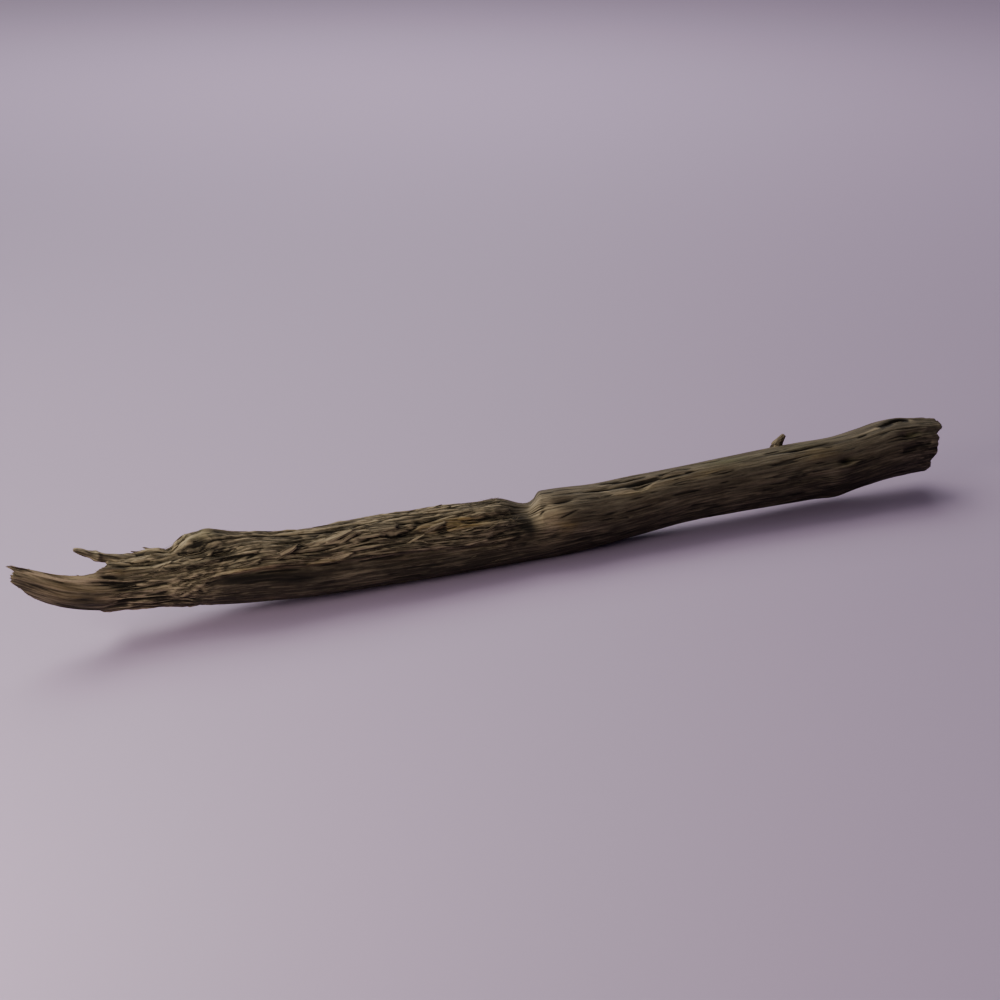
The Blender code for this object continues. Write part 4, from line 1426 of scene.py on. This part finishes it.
@dataclass(frozen=True)
class Stick:
    """A stick that grows out of the trunk: the thin upper prong or the twig stub."""

    name: str
    # X, Y and Z of the points along it, and the radius there
    points: Table
    flat: float
    relief: float
    pale: float
    end_ragged: float
    sides: int = 30
    steps: int = 44
    rings: tuple[float, ...] = (0.8, 0.55, 0.28)

    def path(self) -> tuple[Table, float]:
        """Measure the line of the stick.

        Returns:
            Its points, each with its share of the length in front, and the length.
        """
        table = np.array(self.points)
        steps = np.linalg.norm(np.diff(table[:, :3], axis=0), axis=1)
        places = np.concatenate(([0.0], np.cumsum(steps)))
        return [tuple((place / places[-1], *row)) for place, row in zip(places, table)], places[-1]

    def build(self, wood: bpy.types.Material) -> bpy.types.Object:
        """Build the stick.

        Args:
            wood: its finish.

        Returns:
            The finished piece.
        """
        mesh = round_stick(self.name, self.sides, self.steps, self.rings, self.rings, mirrored=True)
        unit = points_of(mesh)
        share = unit[:, 2] + 0.5
        around = np.arctan2(unit[:, 1], unit[:, 0])
        inner = np.minimum(1.0, np.hypot(unit[:, 0], unit[:, 1]))
        path, length = self.path()
        centre = np.stack([flowing(path, share, item) for item in (1, 2, 3)], axis=-1)
        ahead = np.stack([flowing(path, share + 0.01, item) - flowing(path, share - 0.01, item)
                          for item in (1, 2, 3)], axis=-1)
        ahead /= np.linalg.norm(ahead, axis=1, keepdims=True)
        steep = np.abs(ahead[:, 2:3]) > 0.8
        across = np.cross(ahead, np.where(steep, (0.0, 1.0, 0.0), (0.0, 0.0, 1.0)))
        across /= np.linalg.norm(across, axis=1, keepdims=True)
        outward = np.cross(across, ahead)
        ridges = speckle(np.cos(around) * 2.6, np.sin(around) * 2.6, share * 3.0)
        lumps = speckle(np.cos(around) * 1.1 + 5.0, np.sin(around) * 1.1, share * 5.0)
        strings = 1.0 - 2.2 * np.abs(speckle(np.cos(around) * 4.5, np.sin(around) * 4.5 + 3.0, share * 5.5))
        rise = self.relief * (0.9 * ridges + lumps + 0.45 * strings)
        radius = flowing(path, share, 4) * (1.0 + rise) * inner
        side = across * (np.cos(around) * radius * self.flat)[:, None]
        torn = speckle(unit[:, 0] * 2.2, unit[:, 1] * 2.2, 4.0) * self.end_ragged * (1.0 - inner + 0.4)
        last = (share > ON_SIDE)[:, None]
        place = centre + side + outward * (np.sin(around) * radius)[:, None] + last * ahead * torn[:, None]
        mesh.vertices.foreach_set("co", (place + FORM_TO_FRAME).ravel())
        grain = np.stack((share * length, np.cos(around) * 0.01 + 4.0, np.sin(around) * 0.01), axis=-1)
        # painted light on the upper side of the stick, and painted shade in the grooves between its strings
        dress(mesh, grain, hollow=np.clip(1.2 * strings + lumps - 0.2, -1.0, 1.0), rot=0.8,
              sky=smooth(-0.6, 0.8, outward[:, 2] * np.sin(around)), pale=self.pale * smooth(0.2, 0.9, share))
        return finished(self.name, mesh, wood)


class SplinterKind(Enum):
    """What a splinter is like: how it narrows to its tip, and how its tip is torn."""

    STRAND = (4, 5, 0.85, 0.0)
    SHARD = (9, 12, 0.80, 0.10)
    FLAKE = (14, 12, 0.45, 0.30)

    @property
    def sides(self) -> int:
        """Columns round it."""
        return self.value[0]

    @property
    def steps(self) -> int:
        """Rows along it."""
        return self.value[1]

    @property
    def narrowing(self) -> float:
        """Share of its width that is gone at the tip."""
        return self.value[2]

    @property
    def torn(self) -> float:
        """How unevenly its tip ends, as a share of its length."""
        return self.value[3]


@dataclass
class Splinters:
    """Splinters of one kind that leave the surface at their roots, as one piece."""

    name: str
    kind: SplinterKind
    form: TrunkForm
    relief: WoodRelief
    wood: bpy.types.Material
    seed: int
    # one row each: along, column, length, width, thickness, turn, lift of the tip, sink of the root, pale
    rows: list[tuple[float, ...]] = field(default_factory=list)
    thinness: tuple[float, float] = (0.35, 0.6)
    rim_room: float = 0.012
    root_sink: float = 0.0015
    fringe_width: tuple[float, float] = (0.0014, 0.0034)
    fringe_turn: float = 5.0
    fringe_sink: float = 0.001

    def add(self, along: float, angle: float, *sizes: float) -> None:
        """Add a splinter whose root is given by its angle round the heart.

        Args:
            along: where its root is.
            angle: the angle of its root round the heart.
            sizes: the rest of its row.
        """
        column = angle
        for _ in range(5):
            column += angle - float(self.form.grain_angle(np.array(along), np.array(column)))
        self.rows.append((along, column, *sizes))

    def scatter(self, count: int, along: tuple[float, float], angle: tuple[float, float],
                length: tuple[float, float], width: tuple[float, float], lift: tuple[float, float],
                turn: float, backward: float = 0.4, pale: tuple[float, float] = (0.0, 0.8),
                rotted: float = 0.5) -> None:
        """Strew splinters over a stretch of rotted wood.

        Args:
            count: how many are tried.
            along: where their roots may be.
            angle: the grain lines that they may be on.
            length: their shortest and longest, in metres.
            width: their narrowest and widest, in metres.
            lift: how little and how much their tips stand off, in metres.
            turn: how far they lie from the grain, in degrees.
            backward: the share that points to the left.
            pale: how pale they may be.
            rotted: how rotted the wood under them must be.
        """
        dice = np.random.default_rng(self.seed + len(self.rows))
        places = dice.uniform(*along, count)
        columns = dice.uniform(*angle, count)
        rot = self.relief.rotted(places, self.form.grain_angle(places, columns))
        behind = places - straight(self.form.left_rim, wrapped(columns + self.form.twist * places))
        kept = (rot > rotted) & (behind > self.rim_room)
        for place, column, room in zip(places[kept], columns[kept], behind[kept]):
            wide, long = dice.uniform(*width), dice.uniform(*length)
            heading = dice.normal(0.0, turn) + (180.0 if dice.random() < backward else 0.0)
            self.rows.append((place, column, min(long, 0.95 * room), wide, wide * dice.uniform(*self.thinness),
                              heading, dice.uniform(*lift), self.root_sink, dice.uniform(*pale)))

    def fringe(self, count: int, rim: Table, outward: float, length: tuple[float, float]) -> None:
        """Set strands along a torn rim, pointing out of it.

        Args:
            count: how many there are.
            rim: where the rim is at each angle.
            outward: -1 to point to the left, 1 to the right.
            length: their shortest and longest, in metres.
        """
        dice = np.random.default_rng(self.seed + 100 + len(self.rows))
        for _ in range(count):
            angle, long = dice.uniform(-180.0, 180.0), dice.uniform(*length)
            place = float(straight(rim, np.array(angle))) - outward * dice.uniform(0.75, 1.0) * long
            wide = dice.uniform(*self.fringe_width)
            heading = dice.normal(0.0, self.fringe_turn) + (0.0 if outward > 0.0 else 180.0)
            column = angle - self.form.twist * place
            self.rows.append((place, column, long, wide, 0.5 * wide, heading, dice.uniform(-0.004, 0.002),
                              self.fringe_sink, dice.uniform(0.2, 0.9)))

    def copies(self) -> tuple[bpy.types.Mesh, np.ndarray]:
        """Make a mesh that holds one stick for each splinter.

        Returns:
            The mesh, and the points of one stick.
        """
        one = round_stick(self.name + "_one", self.kind.sides, self.kind.steps)
        unit = points_of(one)
        many = bmesh.new()
        for _ in self.rows:
            many.from_mesh(one)
        bpy.data.meshes.remove(one)
        return kept_mesh(self.name, many), unit

    def under(self, along: np.ndarray, column: np.ndarray, forward: np.ndarray, aside: np.ndarray,
              share: np.ndarray) -> np.ndarray:
        """Give the height of the wood under each splinter.

        Args:
            along: distances along of the roots.
            column: grain lines of the roots, in degrees.
            forward: how far on the tips are, in metres.
            aside: how far aside the tips are, in degrees.
            share: shares of the way from root to tip.

        Returns:
            Heights over the main form, in metres.
        """
        heights = []
        for part in (0.0, 1.0):
            place, line = (along + part * forward)[:, 0], (column + part * aside)[:, 0]
            angle = self.form.grain_angle(place, line)
            heights.append(self.relief.surface(place, line, angle).height[:, None])
        return heights[0] * (1.0 - share) + heights[1] * share

    def build(self) -> bpy.types.Object:
        """Build the piece.

        Returns:
            The finished piece.
        """
        mesh, unit = self.copies()
        table = np.array(self.rows)[:, :, None]
        along, column, length, width, thick, turn, lift, sink, pale = (table[:, item] for item in range(9))
        heading = np.radians(turn)
        share, above = unit[:, 2] + 0.5, unit[:, 1]
        beside = unit[:, 0] * np.sign(np.cos(heading))
        dice = np.random.default_rng(self.seed)
        own = dice.uniform(0.0, 50.0, (len(self.rows), 1))
        ragged = speckle(beside * 1.7 + own, own, 0.0)
        gone = length * share * (1.0 - self.kind.torn * np.abs(ragged) * 2.0)
        radius = self.form.heart(along)[1]
        narrow = (1.0 - self.kind.narrowing * share ** 1.6) * smooth(-0.25, 0.2, share)
        narrow = narrow * (1.0 + 0.30 * speckle(share * 5.0 + own, own, 3.0))
        bend = dice.normal(0.0, 0.05, (len(self.rows), 1)) * length * share * share
        aside = gone * np.sin(heading) + bend + 0.5 * beside * width * narrow
        places = along + gone * np.cos(heading)
        columns = column + np.degrees(aside / radius)
        tip_aside = np.degrees(length * np.sin(heading) / radius)
        base = self.under(along, column, length * np.cos(heading), tip_aside, share)
        wave = 0.12 * length * share * speckle(share * 2.5 + own, own, 8.0)
        rise = base + lift * share ** 1.4 - sink * (1.0 - share) + 0.25 * wave
        rise = rise + 0.5 * above * thick * narrow * (1.0 + 0.35 * ragged)
        mesh.vertices.foreach_set("co", self.form.places(places, columns, 1.0, rise).ravel())
        angle = self.form.grain_angle(places, columns)
        # painted light on the upper faces of the splinters, and painted shade at each root where it meets the
        # wood
        lit = upward_facing(angle) * (0.7 + 0.3 * above)
        grain = np.broadcast_arrays(gone + own, 0.5 * beside * width + own, 0.5 * above * thick)
        shares = {"hollow": 0.15 + 0.3 * above - 0.7 * (1.0 - share) ** 5, "sky": lit,
                  "pale": pale * (0.4 + 0.6 * share)}
        flat = {name: np.broadcast_to(values, angle.shape).ravel() for name, values in shares.items()}
        dress(mesh, np.stack(grain, axis=-1).reshape(-1, 3), rot=1.0, **flat)
        return finished(self.name, mesh, self.wood)


@dataclass
class Studio:
    """A plain pale floor that runs on past the picture, soft light, and the camera."""

    paper: bpy.types.Material
    eye: Place = (-2.25914, -4.43174, 1.97832)
    aim: Place = (-0.06508, -0.00296, 0.1794)
    lens: float = 70.0
    wide: float = 80.0

    def floor(self) -> None:
        """Lay the floor."""
        mesh = bmesh.new()
        bmesh.ops.create_grid(mesh, x_segments=8, y_segments=8, size=0.5 * self.wide)
        data = kept_mesh("studio_floor", mesh)
        data.materials.append(self.paper)
        floor = bpy.data.objects.new("studio_floor", data)
        bpy.context.scene.collection.objects.link(floor)

    def lamp(self, name: str, kind: str, place: Place, target: Place, power: float,
             colour: tuple[float, float, float], **sizes: float) -> None:
        """Hang one soft light.

        Args:
            name: its name.
            kind: AREA for a soft box, SUN for light from far away.
            place: where it hangs.
            target: what it faces.
            power: in watts, or watts for each square metre from far away.
            colour: its colour.
            sizes: size in metres, or angle in radians.
        """
        data = bpy.data.lights.new(name, kind)
        data.energy = power
        data.color = colour
        for size, value in sizes.items():
            setattr(data, size, value)
        lamp = bpy.data.objects.new(name, data)
        lamp.matrix_world = self.facing(place, target)
        lamp.visible_camera = False
        bpy.context.scene.collection.objects.link(lamp)

    def facing(self, place: Place, target: Place) -> Matrix:
        """Give the placing of a thing at one place that looks at another."""
        turned = (Vector(target) - Vector(place)).to_track_quat("-Z", "Y").to_matrix().to_4x4()
        return Matrix.Translation(place) @ turned

    def camera(self) -> None:
        """Stand the camera at the photograph's angle."""
        data = bpy.data.cameras.new("camera")
        data.lens = self.lens
        camera = bpy.data.objects.new("camera", data)
        camera.matrix_world = self.facing(self.eye, self.aim)
        bpy.context.scene.collection.objects.link(camera)
        bpy.context.scene.camera = camera

    def build(self) -> None:
        """Set up the floor, the lights and the camera."""
        self.camera()
        self.floor()
        middle = (-0.4, 0.0, 0.1)
        self.lamp("far", "SUN", (-1.0, 2.4, 3.0), middle, 1.30, (1.0, 0.96, 0.92), angle=math.radians(40.0))
        self.lamp("key", "AREA", (-2.7, 1.8, 3.1), middle, 84.0, (1.0, 0.96, 0.91), size=4.4)
        self.lamp("back", "AREA", (3.0, 9.0, 6.0), (3.0, 8.0, 0.0), 400.0, (1.0, 0.96, 1.0), size=7.0)
        self.lamp("side", "AREA", (-3.5, -1.3, 1.3), (-1.3, -0.1, 0.0), 84.0, (1.0, 0.92, 0.82), size=1.6)
        world = bpy.data.worlds.new("studio")
        world.use_nodes = True
        sky = world.node_tree.nodes["Background"]
        sky.inputs["Color"].default_value = (0.78, 0.72, 1.0, 1.0)
        sky.inputs["Strength"].default_value = 0.10
        bpy.context.scene.world = world


UPPER_PRONG = Stick(
    "upper_prong",
    ((-1.085, 0.010, 0.180, 0.014), (-1.130, 0.008, 0.191, 0.0120), (-1.155, 0.006, 0.200, 0.0105),
     (-1.172, 0.005, 0.206, 0.0108), (-1.183, 0.004, 0.210, 0.0128), (-1.196, 0.003, 0.217, 0.0088),
     (-1.214, 0.001, 0.227, 0.0072), (-1.235, 0.000, 0.237, 0.0042)),
    flat=1.5, relief=0.26, pale=0.3, end_ragged=0.005)
TWIG_STUB = Stick(
    "twig_stub",
    ((0.836, 0.028, 0.158, 0.0190), (0.842, 0.034, 0.180, 0.0160), (0.852, 0.038, 0.194, 0.0125),
     (0.864, 0.040, 0.206, 0.0092), (0.873, 0.041, 0.215, 0.0060)),
    flat=1.0, relief=0.20, pale=0.1, end_ragged=0.005)


def torn_wood(form: TrunkForm, relief: WoodRelief, wood: bpy.types.Material) -> list[Splinters]:
    """Lay out the splinters, flakes and strands of the torn wood.

    Args:
        form: the main form of the trunk.
        relief: its fine relief.
        wood: their finish.

    Returns:
        The kinds of splinters, ready to be built.
    """
    # single ones: along, angle, length, width, thickness, turn, lift of the tip, sink of the root, pale
    shards = Splinters("torn_shards", SplinterKind.SHARD, form, relief, wood, seed=11)
    for sizes in (
            (-0.610, 22, 0.080, 0.0100, 0.0060, 6, 0.007, 0.004, 0.8),
            (-0.385, 27, 0.060, 0.0085, 0.0050, 18, 0.009, 0.004, 1.6),
            (-0.985, 98, 0.105, 0.0240, 0.0120, 176, 0.009, 0.006, 0.5),
            (-0.990, 86, 0.060, 0.0160, 0.0100, 186, 0.006, 0.005, 0.4),
            (-0.995, 108, 0.062, 0.0160, 0.0110, 172, 0.010, 0.005, 0.3),
            (-0.300, 150, 0.090, 0.0120, 0.0060, 8, 0.010, 0.005, 0.5),
            (0.500, 138, 0.080, 0.0110, 0.0060, 176, 0.007, 0.005, 0.5),
            (-0.745, 27, 0.040, 0.0060, 0.0040, 30, 0.006, 0.003, 0.8),
            (-0.680, 44, 0.050, 0.0060, 0.0040, 12, 0.004, 0.003, 0.7),
            (-1.048, 36, 0.040, 0.0090, 0.0050, 38, 0.006, 0.004, 0.5),
            (-0.372, 37, 0.050, 0.0055, 0.0035, -22, 0.007, 0.003, 1.5),
            (-0.240, 33, 0.055, 0.0070, 0.0045, 6, 0.005, 0.003, 0.7),
            (-0.160, 26, 0.050, 0.0070, 0.0045, 20, 0.006, 0.003, 0.8),
            (-1.100, 5, 0.060, 0.0060, 0.0040, 186, 0.005, 0.003, 0.4)):
        shards.add(*sizes)
    flakes = Splinters("torn_flakes", SplinterKind.FLAKE, form, relief, wood, seed=23)
    for sizes in (
            (-0.757, 30, 0.088, 0.0230, 0.0060, 25, 0.015, 0.004, 1.7),
            (-0.598, 22, 0.064, 0.0190, 0.0045, 6, 0.009, 0.002, 1.7),
            (-0.625, 49, 0.120, 0.0170, 0.0040, 8, 0.006, 0.002, 1.0),
            (-0.600, 55, 0.100, 0.0150, 0.0036, 10, 0.005, 0.002, 1.0),
            (-0.575, 45, 0.070, 0.0120, 0.0030, 14, 0.005, 0.002, 0.9),
            (-0.480, 60, 0.095, 0.0260, 0.0045, -2, 0.006, 0.002, 0.2),
            (-0.330, 44, 0.075, 0.0150, 0.0026, 8, 0.005, 0.002, 0.4),
            (-1.060, 48, 0.060, 0.0160, 0.0030, 12, 0.006, 0.002, 0.4),
            (-0.860, 20, 0.080, 0.0120, 0.0024, 6, 0.004, 0.002, 0.7),
            (-0.200, 62, 0.080, 0.0180, 0.0030, 3, 0.004, 0.002, 0.3)):
        flakes.add(*sizes)
    # scattered ones: count, along, grain line, length, width, lift of the tip, turn
    flakes.scatter(80, (-1.14, -0.06), (0.0, 200.0), (0.040, 0.110), (0.005, 0.012), (0.000, 0.003), 2.2,
                   pale=(0.0, 0.6))
    strands = Splinters("torn_strands", SplinterKind.STRAND, form, relief, wood, seed=37)
    strands.scatter(1500, (-1.15, -0.03), (0.0, 200.0), (0.030, 0.110), (0.0008, 0.0020), (0.0002, 0.0024), 2.4)
    strands.scatter(300, (-1.15, -0.03), (200.0, 360.0), (0.020, 0.070), (0.0011, 0.0024),
                    (0.0005, 0.0030), 5.0, pale=(0.0, 0.4))
    strands.scatter(200, (-0.10, -0.02), (30.0, 130.0), (0.010, 0.026), (0.0012, 0.0024), (0.001, 0.006), 40.0,
                    pale=(0.0, 0.2))
    strands.scatter(140, (-1.04, -0.94), (-12.0, 24.0), (0.015, 0.040), (0.0014, 0.0030), (0.001, 0.004), 8.0,
                    backward=0.0, pale=(0.2, 0.9))
    strands.fringe(170, form.left_rim, -1.0, (0.006, 0.016))
    strands.fringe(180, form.right_rim, 1.0, (0.008, 0.024))
    return [shards, flakes, strands]


def main() -> None:
    """Build the studio and the trunk, and report each piece."""
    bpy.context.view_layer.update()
    form = TrunkForm()
    relief = WoodRelief(form)
    wood = WeatheredWood().build()
    Studio(PaleFloor().build()).build()
    pieces = [TrunkBody(form, relief, wood).build()]
    pieces.extend(stick.build(wood) for stick in (UPPER_PRONG, TWIG_STUB))
    pieces.extend(splinters.build() for splinters in torn_wood(form, relief, wood))
    for piece in pieces:
        LOG.info("%s: %d faces", piece.name, len(piece.data.polygons))


if __name__ == "__main__":
    logging.basicConfig(level=logging.INFO)
    main()
